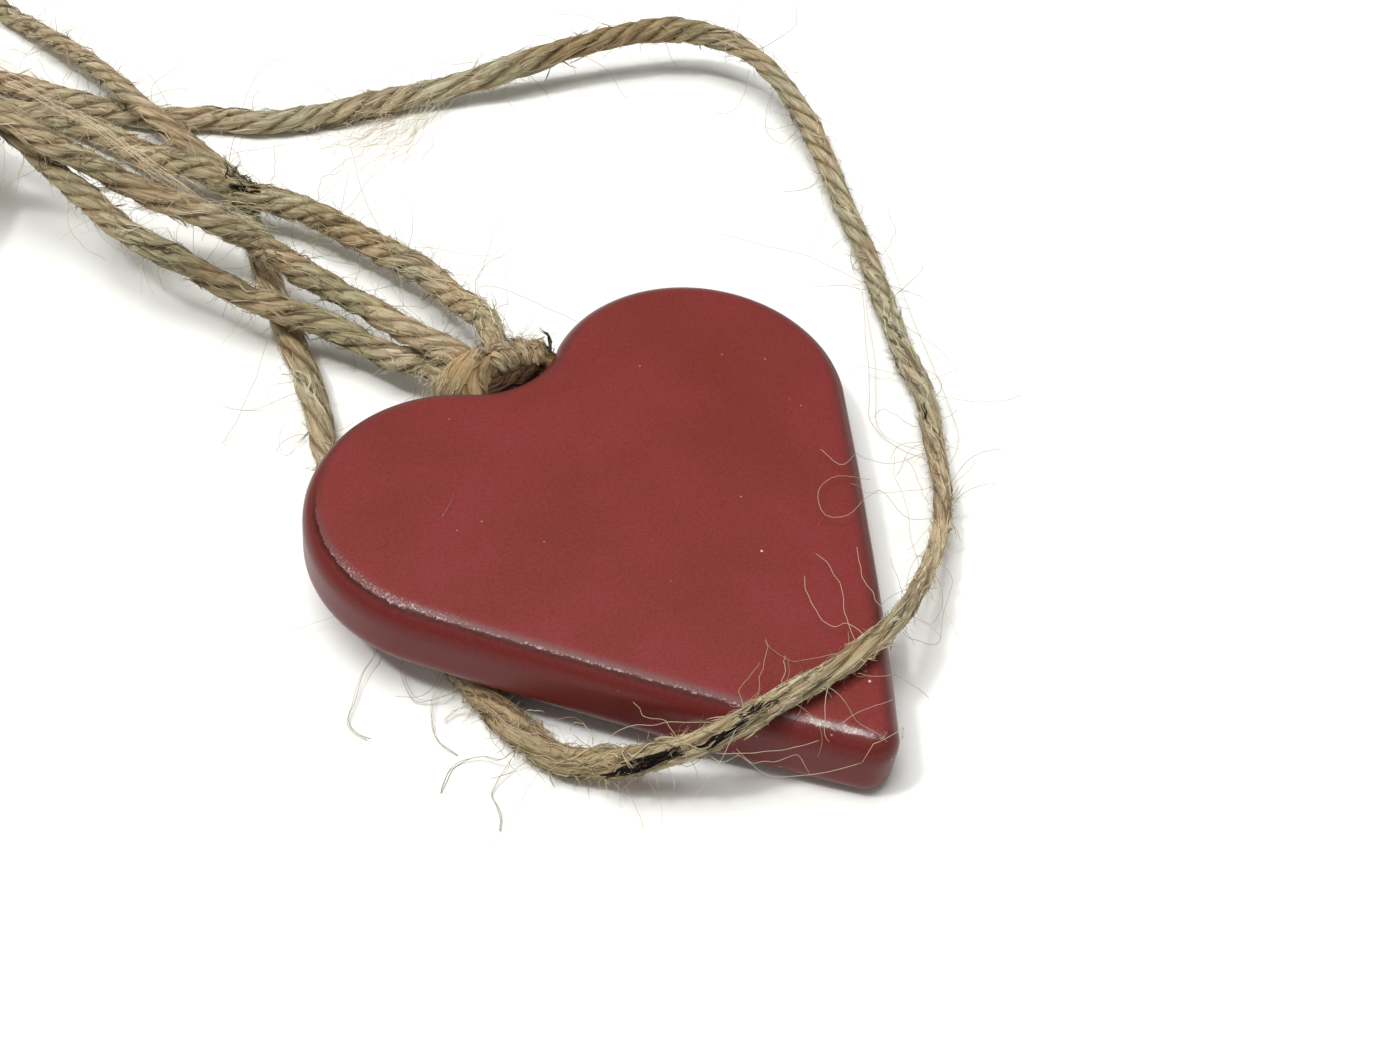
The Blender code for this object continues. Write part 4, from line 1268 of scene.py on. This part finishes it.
def laid_threads(routes, points, copies=1, spread=0.0, seed=0, wave=0.16):
    """Hairs along listed routes, with small waves. Copies share the root and spread towards the end."""
    rng = np.random.default_rng(seed)
    threads = []
    for route in routes:
        path = smooth_path(np.array(route, float) * MM, HAIR_SPACING)
        pick = np.linspace(0, len(path) - 1, points).round().astype(int)
        for _ in range(copies):
            far = np.linspace(0, 1, points)[:, None]
            wave_seeds = [int(rng.integers(1 << 30)) for _ in range(3)]
            curls = np.stack([wander(far[:, 0], WAVE_LENGTH, picked) for picked in wave_seeds], 1)
            offset = rng.normal(0, spread, 3) * far**SPREAD_POWER + rng.normal(0, spread * ROOT_SPREAD, 3)
            threads.append(path[pick] + (offset + curls * wave) * MM)
    threads = np.array(threads)
    return keep_clear(threads), rng.random(len(threads))


HAIR_POINTS = 34
HAIR_WIDTH = 0.036 * MM
FLOOR_HAIR_WIDTH = 0.038 * MM
FLOOR_HAIR_TINT = (0.92, 0.97, 1.04)
hair_sets = [
    laid_threads(LONG_HAIRS, HAIR_POINTS, seed=301),
    laid_threads(FLOOR_HAIRS, HAIR_POINTS, copies=2, spread=0.15, seed=302),
]
hair_counts = [len(lines) for lines, _ in hair_sets]
hair_lines = np.concatenate([lines for lines, _ in hair_sets])
hair_shade = np.concatenate([shade for _, shade in hair_sets])
hair_width = np.repeat([HAIR_WIDTH, FLOOR_HAIR_WIDTH], hair_counts)[:, None]
hair_width = hair_width * np.linspace(0.8, 1.0, HAIR_POINTS)
hair_tint = np.repeat([(1.0, 1.0, 1.0), FLOOR_HAIR_TINT], hair_counts, axis=0)
long_hairs = bundle_piece("long_hairs", hair_lines, hair_width, 0.35 + 0.40 * hair_shade, tint=hair_tint)
print("hand-laid hairs:", len(hair_lines))

# %% [markdown]
# ## Tufts
# Some of the twine has come apart: pale fibres run off the upper loop strand and bridge the gap to the
# lead, a beige beard hangs from the far strand, and short ends stand off the knot.

# %% Tufts
PALE_BRIDGE = [
    (-20.2, 97.5, 14.8), (-17.2, 92.5, 13.2), (-14.6, 87.2, 11.6), (-12.4, 79.8, 9.8), (-10.6, 73.6, 8.2),
]
BRIDGE_BACK = [
    (-20.6, 79.6, 11.2), (-17.2, 78.0, 10.2), (-13.6, 74.6, 8.6), (-10.0, 69.4, 7.2), (-7.6, 66.2, 6.4),
]
WHITE_WEB = [(-16.4, 76.6, 8.6), (-12.6, 74.6, 7.4), (-8.8, 72.0, 6.4), (-5.4, 68.0, 5.6)]
BEARD = [(27.5, 79.2, 2.4), (23.6, 79.0, 1.6), (19.6, 77.6, 1.0), (16.4, 76.6, 0.5)]
BEARD_ACROSS = [(22.0, 81.6, 2.2), (19.0, 80.2, 1.4), (15.4, 79.8, 0.7), (12.4, 80.2, 0.4)]
TUFT_PALENESS = 1.25
KNOT_FRAY = [
    [(-5.2, 31.8, 9.0), (-6.6, 32.4, 9.6), (-7.9, 32.4, 9.4)],
    [(-5.8, 31.2, 7.6), (-6.9, 31.6, 8.4), (-8.1, 31.2, 8.9)],
    [(-3.4, 32.4, 10.2), (-4.6, 33.4, 10.8), (-6.2, 33.6, 10.6)],
    [(3.4, 30.2, 9.6), (4.6, 30.8, 10.4), (6.0, 30.8, 10.6)],
]
BRISTLES = [(-24.4, 113, 14.5), (-21.4, 104.5, 15.2), (-19.2, 99.6, 14.6), (-17.6, 95.4, 13.6)]
TUFT_POINTS = 20
TUFT_THREAD_RADIUS = 0.022 * MM
# routes, copies of each, spread in mm, seed, wave in mm
TUFTS = [
    ([PALE_BRIDGE, BRIDGE_BACK], 16, 0.9, 311, 0.5),
    ([WHITE_WEB], 26, 1.2, 312, 0.5),
    ([BEARD, BEARD_ACROSS], 26, 2.6, 313, 0.9),
    ([BRISTLES], 14, 1.1, 314, 0.16),
    (KNOT_FRAY, 9, 0.8, 315, 0.4),
]
tuft_sets = [laid_threads(routes, TUFT_POINTS, *how) for routes, *how in TUFTS]
tuft_lines = np.concatenate([lines for lines, _ in tuft_sets])
tuft_shade = np.concatenate([0.5 + 0.5 * shade for _, shade in tuft_sets])
tuft_tint = np.full((len(tuft_lines), 3), TUFT_PALENESS)
tuft_width = np.full(tuft_lines.shape[:2], TUFT_THREAD_RADIUS)
tufts = bundle_piece("loose_tufts", tuft_lines, tuft_width, tuft_shade, tint=tuft_tint)
print("tuft threads:", len(tuft_lines))

# %% [markdown]
# ## Bits of bark
# Flat bits of bark stand up at the knot and where two strands cross. They are laid as the hairs are, but
# they are thick at the root and end in a point.

# %% Bits of bark
BIT_RADIUS, LEAF_RADIUS = 0.11 * MM, 0.105 * MM
BARK_TAPER = np.array([1, 1.1, 1, 0.8, 0.5, 0.15])
bit_lines, bit_shade = laid_threads(DARK_BITS, len(BARK_TAPER), 3, 0.12, 321)
leaf_lines, leaf_shade = laid_threads(BARK_TUFT, len(BARK_TAPER), 3, 0.34, 322)
dark_lines = np.concatenate([bit_lines, leaf_lines])
dark_shade = np.concatenate([bit_shade, leaf_shade])
dark_radius = np.repeat([BIT_RADIUS, LEAF_RADIUS], [len(bit_lines), len(leaf_lines)])[:, None] * BARK_TAPER
dark_bits = bundle_piece("bark_tuft", dark_lines, dark_radius, dark_shade, sides=5)
print("bits of bark:", len(dark_lines))

# %% [markdown]
# ## Node helpers
# A material is a tree of nodes. These functions add a material, a node with its inputs, a colour ramp and a
# mix of two colours, so that the recipes below read like recipes.

# %% Node helpers


def new_material(name, base_color, roughness):
    made = bpy.data.materials.new(name)
    made.use_nodes = True
    shader = made.node_tree.nodes["Principled BSDF"]
    shader.inputs["Base Color"].default_value = (*base_color, 1.0)
    shader.inputs["Roughness"].default_value = roughness
    return made, made.node_tree, shader


def add_node(tree, kind, inputs=(), **settings):
    """A node with its settings, then its inputs: plain values, or sockets to link from."""
    node = tree.nodes.new(kind)
    for key, value in settings.items():
        setattr(node, key, value)
    for key, value in dict(inputs).items():
        if isinstance(value, bpy.types.NodeSocket):
            tree.links.new(value, node.inputs[key])
        else:
            node.inputs[key].default_value = value
    return node


def add_ramp(tree, factor, stops):
    """A colour ramp through stops of (place, colour)."""
    ramp = add_node(tree, "ShaderNodeValToRGB", {0: factor})
    band = ramp.color_ramp
    while len(band.elements) < len(stops):
        band.elements.new(0.5)
    for element, (place, color) in zip(band.elements, stops):
        element.position = place
        element.color = (*color, 1.0)
    return ramp.outputs[0]


def mix_colors(tree, factor, first, second, how="MIX"):
    """Mixes two colours, each a socket or a plain colour. They are inputs 6 and 7 of the node."""
    first = first if isinstance(first, bpy.types.NodeSocket) else (*first, 1.0)
    second = second if isinstance(second, bpy.types.NodeSocket) else (*second, 1.0)
    node = add_node(tree, "ShaderNodeMix", {0: factor, 6: first, 7: second}, data_type="RGBA", blend_type=how)
    return node.outputs[2]


print("materials that the frame brought:", len(bpy.data.materials))

# %% [markdown]
# ## A colour that drifts
# Neither glaze nor jute nor bark has one even colour: it drifts between two. All their materials use this
# effect, so it is a node group, built once, with its two colours and its size as inputs.

# %% Drift group
DRIFT_LOW, DRIFT_HIGH = 0.36, 0.64


def drift_group():
    group = bpy.data.node_groups.new("drifting_colour", "ShaderNodeTree")
    face = group.interface
    face.new_socket("Place", in_out="INPUT", socket_type="NodeSocketVector")
    face.new_socket("Scale", in_out="INPUT", socket_type="NodeSocketFloat")
    face.new_socket("First", in_out="INPUT", socket_type="NodeSocketColor")
    face.new_socket("Second", in_out="INPUT", socket_type="NodeSocketColor")
    face.new_socket("Color", in_out="OUTPUT", socket_type="NodeSocketColor")
    given = group.nodes.new("NodeGroupInput").outputs
    inputs = {"Vector": given["Place"], "Scale": given["Scale"], "Detail": 3.0}
    noise = add_node(group, "ShaderNodeTexNoise", inputs).outputs[0]
    share = add_node(group, "ShaderNodeMapRange", {0: noise, 1: DRIFT_LOW, 2: DRIFT_HIGH}).outputs[0]
    color = mix_colors(group, share, given["First"], given["Second"])
    add_node(group, "NodeGroupOutput", {"Color": color})
    return group


DRIFT = drift_group()


def add_drift(tree, place, scale, first, second):
    node = tree.nodes.new("ShaderNodeGroup")
    node.node_tree = DRIFT
    tree.links.new(place, node.inputs["Place"])
    node.inputs["Scale"].default_value = scale
    node.inputs["First"].default_value = (*first, 1.0)
    node.inputs["Second"].default_value = (*second, 1.0)
    return node.outputs["Color"]


print("sockets of the group:", [item.name for item in DRIFT.interface.items_tree])

# %% [markdown]
# ## Jute as a material
# Jute is a dull, straw-brown plant fibre. Fine streaks are a noise that is read in untwisted fibres and
# stretched along them, so they follow the yarns. The grooves have a painted shade, so they are darker. The
# streaks are also a fine bump, and loose fibres have the same colours with one shade each.

# %% Jute
JUTE_SHADOW = (0.145, 0.105, 0.062)
JUTE_DARK = (0.200, 0.150, 0.092)
JUTE_MIDDLE = (0.420, 0.355, 0.245)
JUTE_LIGHT = (0.620, 0.560, 0.425)
JUTE_PALE = (0.74, 0.69, 0.56)
JUTE_GREEN = (0.96, 1.00, 0.91)
JUTE_WARM = (1.09, 0.97, 0.85)
GROOVE_SHADE = (0.46, 0.40, 0.32)
BARK_COLOR = (0.010, 0.007, 0.006)
BARK_BROWN = (0.022, 0.016, 0.012)
BARK_DULL = (0.026, 0.024, 0.018)
BARK_GREY = (0.115, 0.118, 0.080)
JUTE_DRIFT_SCALE = 110.0
BARK_DRIFT_SCALE = 900.0
STREAK_SCALE = 3000.0
STREAK_STRETCH = (1.0, 1.0, 0.05)


def tinted(tree, color):
    """The colour with the strand's tint and a slow drift from greenish to warm."""
    tint = add_node(tree, "ShaderNodeAttribute", attribute_name="tint").outputs["Color"]
    place = add_node(tree, "ShaderNodeTexCoord").outputs["Object"]
    drift = add_drift(tree, place, JUTE_DRIFT_SCALE, JUTE_GREEN, JUTE_WARM)
    return mix_colors(tree, 1.0, mix_colors(tree, 1.0, color, tint, "MULTIPLY"), drift, "MULTIPLY")


def twine_material():
    made, tree, shader = new_material("jute_twine", JUTE_MIDDLE, 0.85)
    straight = add_node(tree, "ShaderNodeAttribute", attribute_name="untwisted").outputs["Vector"]
    stretch = {0: straight, 1: STREAK_STRETCH}
    stretched = add_node(tree, "ShaderNodeVectorMath", stretch, operation="MULTIPLY").outputs[0]
    noise = {"Vector": stretched, "Scale": STREAK_SCALE, "Detail": 3.0, "Roughness": 0.65}
    streaks = add_node(tree, "ShaderNodeTexNoise", noise).outputs[0]
    fibre = add_ramp(tree, streaks, [(0.30, JUTE_DARK), (0.50, JUTE_MIDDLE), (0.70, JUTE_LIGHT)])
    groove = add_node(tree, "ShaderNodeAttribute", attribute_name="groove").outputs["Fac"]
    # painted shade: the grooves between the yarns are darker
    shaded = mix_colors(tree, groove, (1.0, 1.0, 1.0), GROOVE_SHADE)
    color = mix_colors(tree, 1.0, tinted(tree, fibre), shaded, "MULTIPLY")
    tree.links.new(color, shader.inputs["Base Color"])
    relief = {"Height": streaks, "Strength": 0.7, "Distance": 0.22 * MM}
    bump = add_node(tree, "ShaderNodeBump", relief).outputs[0]
    tree.links.new(bump, shader.inputs["Normal"])
    shader.inputs["Specular IOR Level"].default_value = 0.25
    return made


def fibre_material():
    made, tree, shader = new_material("loose_jute_fibre", JUTE_LIGHT, 0.60)
    shade = add_node(tree, "ShaderNodeAttribute", attribute_name="shade").outputs["Fac"]
    stops = [(0.0, JUTE_SHADOW), (0.35, JUTE_MIDDLE), (0.75, JUTE_LIGHT), (1.0, JUTE_PALE)]
    color = tinted(tree, add_ramp(tree, shade, stops))
    tree.links.new(color, shader.inputs["Base Color"])
    shader.inputs["Specular IOR Level"].default_value = 0.4
    return made


def bark_material(name, first, second):
    made, tree, shader = new_material(name, first, 0.7)
    place = add_node(tree, "ShaderNodeTexCoord").outputs["Object"]
    color = add_drift(tree, place, BARK_DRIFT_SCALE, first, second)
    tree.links.new(color, shader.inputs["Base Color"])
    shader.inputs["Specular IOR Level"].default_value = 0.08
    return made


def dress(material, *pieces):
    """Gives pieces one material."""
    for made in pieces:
        made.data.materials.clear()
        made.data.materials.append(material)


dress(twine_material(), garland_line, hanging_loop, notch_knot, coil_tie)
dress(fibre_material(), *lying.values(), *hairs.values(), long_hairs, tufts)
dress(bark_material("dark_bark", BARK_COLOR, BARK_BROWN), bark_flecks)
dress(bark_material("grey_bark", BARK_DULL, BARK_GREY), dark_bits)
print("materials now:", sorted(made.name for made in bpy.data.materials))

# %% [markdown]
# ## The glaze
# The heart has a satin red glaze over a dark body. The face drifts from brown red to raspberry, browner on
# the right, with a fine grain and a few pale specks. How far the surface leans away from the face, in
# radians, tells where the rim begins. A map range brings that to 0 to 1, because a ramp can't go further.
# On the side of the rim that faces the camera there is a grey purple band, partly the glaze's own colour
# and partly a painted sheen, with painted glints of pale grains, and a thin dark line over the wall. The
# painted glints sit at two places where the glaze is smoother, the painted highlight of the pale crest fades
# out beside the lobe, and the dark line fades out towards the tip.

# %% Glaze colours and masks
GLAZE_BROWN = (0.204, 0.034, 0.027)
GLAZE_RASPBERRY = (0.236, 0.038, 0.038)
# the face is darker and browner towards the right lobe
RIGHT_LOBE_TINT = (0.93, 0.86, 0.80)
# painted sheen: the band's grey purple is partly the glaze's colour and partly a painted reflection
GLAZE_BAND = (0.180, 0.066, 0.062)
# a thin dark line, laid only on the camera's side of the rim
GLAZE_DARK_LINE = (0.060, 0.012, 0.009)
GLAZE_WALL = (0.134, 0.018, 0.016)
GLAZE_RIM = (0.150, 0.034, 0.029)
# painted highlight: pale glints on the grains and a pale crest on the rim
PAINTED_GLINT_COLOR = (0.52, 0.36, 0.34)
SPECK_COLOR = (0.42, 0.28, 0.24)
CHIP_COLOR = (0.85, 0.72, 0.66)
CHIPS = [(5.2, -6.7, 9.3), (3.2, -24.6, 8.4)]
CHIP_REACH_MM = (0.20, 0.10)
# where the glaze is smoother and painted glints are laid on its grains
GLITTER_PLACES = [((-28.5, 8.5, 12.1), 9.0), ((-3.4, -27.0, 8.6), 5.5)]
GLITTER_CORE = 0.4
# the side of the rim that faces the camera, where the band, dark line and painted crest highlight lie
CAMERA_SIDE_TOWARDS = (-0.80, -0.60, 0.0)
BROWNER_TOWARDS = (0.8, 0.6, 0.0)
FACE_LEAN, WIDEST_LEAN = 0.18, 1.6
RAGGED_BY = 0.36
RAGGED_SCALE = 1300.0
NEAR_SIDE = (0.04, 0.24)
BROWNER_FADE = (-12 * MM, 22 * MM)
DARK_LINE_FADE = (-24 * MM, -17 * MM)
CREST_FADE = (20 * MM, 9 * MM)
GRAIN_SCALE = 4200.0
PATCH_SCALE = 420.0
SPECK_SCALE = 300.0
GLAZE_DRIFT_SCALE = 85.0


def along_direction(tree, what, direction):
    """How far a place or a normal reaches in a direction."""
    inputs = {0: what, 1: direction}
    return add_node(tree, "ShaderNodeVectorMath", inputs, operation="DOT_PRODUCT").outputs["Value"]


def between(tree, value, low, high):
    """0 at the low value, 1 at the high one, and even between."""
    return add_node(tree, "ShaderNodeMapRange", {0: value, 1: low, 2: high}).outputs[0]


def near_place(tree, place, spot_mm, outer_mm, inner_mm):
    """1 within the inner distance of a spot, 0 beyond the outer one."""
    spot = tuple(v * MM for v in spot_mm)
    away = add_node(tree, "ShaderNodeVectorMath", {0: place, 1: spot}, operation="DISTANCE").outputs["Value"]
    return between(tree, away, outer_mm * MM, inner_mm * MM)


def glaze_lean(tree, place, normal):
    """How far the surface leans away from the face: 0 on the face, 1 on the wall, with a ragged edge."""
    upright = along_direction(tree, normal, tuple(float(v) for v in tilt_rows[:, 2]))
    angle = add_node(tree, "ShaderNodeMath", {0: upright}, operation="ARCCOSINE").outputs[0]
    noise = {"Vector": place, "Scale": RAGGED_SCALE, "Detail": 5.0, "Roughness": 0.80}
    ragged = add_node(tree, "ShaderNodeTexNoise", noise).outputs[0]
    sums = {0: ragged, 1: RAGGED_BY, 2: angle}
    lean = add_node(tree, "ShaderNodeMath", sums, operation="MULTIPLY_ADD").outputs[0]
    return between(tree, lean, FACE_LEAN, FACE_LEAN + WIDEST_LEAN)


def product(tree, first, second):
    return add_node(tree, "ShaderNodeMath", {0: first, 1: second}, operation="MULTIPLY").outputs[0]


def grey_ramp(tree, factor, stops):
    return add_ramp(tree, factor, [(place, (value,) * 3) for place, value in stops])


def noise_at(tree, place, scale, detail):
    inputs = {"Vector": place, "Scale": scale, "Detail": detail}
    return add_node(tree, "ShaderNodeTexNoise", inputs).outputs[0]


print("places that glitter most:", len(GLITTER_PLACES))

# %% [markdown]
# ## The glaze, put together
# Masks from the lean and from the side that faces the camera are multiplied, and each lays one more colour
# over the last: rim, band with its painted sheen, dark line, painted glints, painted crest highlight, specks
# and chips. The same masks set how rough the glaze is and where its grains stand up. A clear coat lies only
# on the grains near the tip.

# %% Glaze


def glaze_face(tree, place):
    """The face's colour: a slow drift, darker and browner towards the right lobe."""
    face = add_drift(tree, place, GLAZE_DRIFT_SCALE, GLAZE_BROWN, GLAZE_RASPBERRY)
    towards_right = between(tree, along_direction(tree, place, BROWNER_TOWARDS), *BROWNER_FADE)
    browner = mix_colors(tree, towards_right, (1.0, 1.0, 1.0), RIGHT_LOBE_TINT)
    return mix_colors(tree, 1.0, face, browner, "MULTIPLY")


def glaze_base(tree, place, lean, grain):
    """The face and, further down the rim, a darker red, both with a fine grain."""
    rim = add_ramp(tree, lean, [(0.20, GLAZE_RIM), (0.60, GLAZE_WALL)])
    on_rim = grey_ramp(tree, lean, [(0.12, 0.0), (0.34, 1.0)])
    grain_tone = add_ramp(tree, grain, [(0.25, (0.84, 0.83, 0.83)), (0.75, (1.16, 1.17, 1.17))])
    color = mix_colors(tree, on_rim, glaze_face(tree, place), rim)
    return mix_colors(tree, 1.0, color, grain_tone, "MULTIPLY")


def rim_masks(tree, place, normal, lean):
    """Band with painted sheen, dark line and painted crest highlight, each from 0 to 1, on the camera's side.
    """
    # the band, dark line and painted crest highlight lie only on the side of the rim that faces the camera
    near_side = between(tree, along_direction(tree, normal, CAMERA_SIDE_TOWARDS), *NEAR_SIDE)
    up_the_heart = along_direction(tree, place, (0.0, 1.0, 0.0))
    above_tip = between(tree, up_the_heart, *DARK_LINE_FADE)
    below_lobe = between(tree, up_the_heart, *CREST_FADE)
    band = grey_ramp(tree, lean, [(0.08, 0.0), (0.20, 1.0), (0.31, 1.0), (0.34, 0.0)])
    band = product(tree, band, near_side)
    dark_line = grey_ramp(tree, lean, [(0.315, 0.0), (0.335, 1.0), (0.36, 1.0), (0.46, 0.0)])
    dark_line = product(tree, product(tree, dark_line, near_side), above_tip)
    crest = grey_ramp(tree, lean, [(0.25, 0.0), (0.29, 1.0), (0.31, 1.0), (0.335, 0.0)])
    crest = product(tree, product(tree, crest, near_side), below_lobe)
    return band, dark_line, crest


def with_marks(tree, place, color):
    """The colour with pale specks all over and a few chips."""
    spread = {"Vector": place, "Scale": SPECK_SCALE}
    cells = add_node(tree, "ShaderNodeTexVoronoi", spread).outputs["Distance"]
    specks = grey_ramp(tree, cells, [(0.020, 1.0), (0.034, 0.0)])
    color = mix_colors(tree, specks, color, SPECK_COLOR)
    for chip in CHIPS:
        color = mix_colors(tree, near_place(tree, place, chip, *CHIP_REACH_MM), color, CHIP_COLOR)
    return color


def glaze_material():
    made, tree, shader = new_material("red_satin_glaze", GLAZE_BROWN, 0.45)
    place = add_node(tree, "ShaderNodeTexCoord").outputs["Object"]
    normal = add_node(tree, "ShaderNodeNewGeometry").outputs["Normal"]
    grain = noise_at(tree, place, GRAIN_SCALE, 2.0)
    patches = noise_at(tree, place, PATCH_SCALE, 1.0)
    lean = glaze_lean(tree, place, normal)
    band, dark_line, crest = rim_masks(tree, place, normal, lean)
    spots = [near_place(tree, place, spot, reach, reach * GLITTER_CORE) for spot, reach in GLITTER_PLACES]
    shine = add_node(tree, "ShaderNodeMath", {0: spots[0], 1: spots[1]}, operation="MAXIMUM").outputs[0]
    shine = product(tree, shine, band)

    color = mix_colors(tree, band, glaze_base(tree, place, lean, grain), GLAZE_BAND)
    color = mix_colors(tree, dark_line, color, GLAZE_DARK_LINE)
    # painted highlight: pale glints on the grains of the band
    painted_glints = product(tree, grey_ramp(tree, grain, [(0.56, 0.0), (0.66, 1.0)]), shine)
    color = mix_colors(tree, painted_glints, color, PAINTED_GLINT_COLOR)
    # painted highlight: a pale crest along the rim
    crest = product(tree, crest, grey_ramp(tree, patches, [(0.42, 0.15), (0.60, 1.0)]))
    crest = product(tree, crest, grey_ramp(tree, grain, [(0.48, 0.0), (0.64, 1.0)]))
    color = mix_colors(tree, crest, color, PAINTED_GLINT_COLOR)
    tree.links.new(with_marks(tree, place, color), shader.inputs["Base Color"])

    rough = grey_ramp(tree, lean, [(0.10, 0.46), (0.25, 0.38), (0.40, 0.32)])
    tree.links.new(mix_colors(tree, shine, rough, (0.25,) * 3), shader.inputs["Roughness"])
    raised = mix_colors(tree, 1.0, grain, mix_colors(tree, band, (0.25,) * 3, (1.0,) * 3), "MULTIPLY")
    relief = {"Height": raised, "Strength": 1.0, "Distance": 0.05 * MM}
    tree.links.new(add_node(tree, "ShaderNodeBump", relief).outputs[0], shader.inputs["Normal"])
    shader.inputs["Specular IOR Level"].default_value = 0.21
    patchy = grey_ramp(tree, patches, [(0.40, 0.25), (0.60, 1.0)])
    glassy = product(tree, product(tree, spots[1], band), patchy)
    tree.links.new(glassy, shader.inputs["Coat Weight"])
    shader.inputs["Coat Roughness"].default_value = 0.24
    shader.inputs["Coat IOR"].default_value = 1.6
    return made


glaze = glaze_material()
dress(glaze, ceramic_heart)
print("nodes in the glaze:", len(glaze.node_tree.nodes))

# %% [markdown]
# ## Table and light
# The table is a white sheet under plain studio light. One sun lamp is a broad soft key light nearly
# overhead, so shadows stay short and soft, and the rounded edge that faces the viewer glitters. The other
# is smaller and sharper and comes from the left, like a window. It is hidden from reflections, so the glaze
# stays satin. The sky is a little brighter in front, like a white wall behind the camera, and the camera
# itself sees plain white. The Standard view keeps the white table white.

# %% Table, lamps and sky
TABLE_WHITE = (0.945, 0.952, 0.918)
# name, towards the lamp, strength, softness in degrees, seen in reflections
LAMPS = [
    ("soft_key", (-0.14, 0.02, 0.989), 2.02, 32.0, True),
    ("window", (-0.40, 0.18, 0.90), 1.00, 6.0, False),
]
SKY_BACK, SKY_FRONT = 0.30, 0.38
SKY_FRONT_TOWARDS = Vector((-0.50, -0.75, 0.43)).normalized()
BACKGROUND_STRENGTH = 1.1
TABLE_SIDE = 6.0


def make_table():
    bpy.ops.mesh.primitive_plane_add(size=TABLE_SIDE, location=(0, 0, 0))
    table = bpy.context.object
    table.name = "table"
    made, _, shader = new_material("white_table", TABLE_WHITE, 0.9)
    shader.inputs["Specular IOR Level"].default_value = 0.1
    dress(made, table)


def make_sky():
    world = bpy.data.worlds.new("studio_walls")
    bpy.context.scene.world = world
    world.use_nodes = True
    tree = world.node_tree
    tree.nodes.clear()
    where = add_node(tree, "ShaderNodeTexCoord").outputs["Generated"]
    front = along_direction(tree, where, tuple(SKY_FRONT_TOWARDS))
    steps = {0: front, 1: -0.2, 2: 0.9, 3: SKY_BACK, 4: SKY_FRONT}
    level = add_node(tree, "ShaderNodeMapRange", steps).outputs[0]
    lit = add_node(tree, "ShaderNodeBackground", {"Strength": level}).outputs[0]
    white = {"Color": (1.0, 1.0, 1.0, 1.0), "Strength": BACKGROUND_STRENGTH}
    seen = add_node(tree, "ShaderNodeBackground", white).outputs[0]
    ray = add_node(tree, "ShaderNodeLightPath").outputs["Is Camera Ray"]
    mixed = add_node(tree, "ShaderNodeMixShader", {0: ray, 1: lit, 2: seen}).outputs[0]
    add_node(tree, "ShaderNodeOutputWorld", {"Surface": mixed})


def make_lamp(name, towards, strength, softness, in_reflections):
    lamp = bpy.data.lights.new(name, "SUN")
    lamp.energy = strength
    lamp.angle = math.radians(softness)
    made = bpy.data.objects.new(name, lamp)
    made.location = towards
    made.rotation_euler = Vector(towards).to_track_quat("Z", "Y").to_euler()
    made.visible_glossy = in_reflections
    bpy.context.scene.collection.objects.link(made)


make_table()
make_sky()
for row in LAMPS:
    make_lamp(*row)
bpy.context.scene.view_settings.view_transform = "Standard"
print("lamps:", [row[0] for row in LAMPS])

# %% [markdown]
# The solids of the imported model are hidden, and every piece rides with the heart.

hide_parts("heart")
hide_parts("knot")
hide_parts("hanging_loop")
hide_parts("lead", "coil", "run")
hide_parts("coil_tie")
slots = {
    "red_glaze": [ceramic_heart],
    "knotted_jute": [notch_knot, lying["knot_fibres"], hairs["knot_fuzz"]],
    "jute": [hanging_loop, lying["loop_fibres"], hairs["loop_hairs"], hairs["loop_fuzz"]],
    "run_jute": [
        garland_line, lying["run_fibres"], lying["front_fibres"], lying["tip_fibres"],
        hairs["run_hairs"], hairs["run_fuzz"], hairs["front_fuzz"], long_hairs, bark_flecks,
    ],
    "lead_jute": [lying["lead_fibres"], hairs["lead_hairs"], hairs["lead_fuzz"], tufts, dark_bits],
    "wound_jute": [lying["coil_fibres"], hairs["coil_hairs"]],
    "tie_jute": [coil_tie],
}
for slot_name, pieces in slots.items():
    for piece in pieces:
        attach(piece, "root")

print("pieces that ride with the heart:", sum(len(pieces) for pieces in slots.values()))
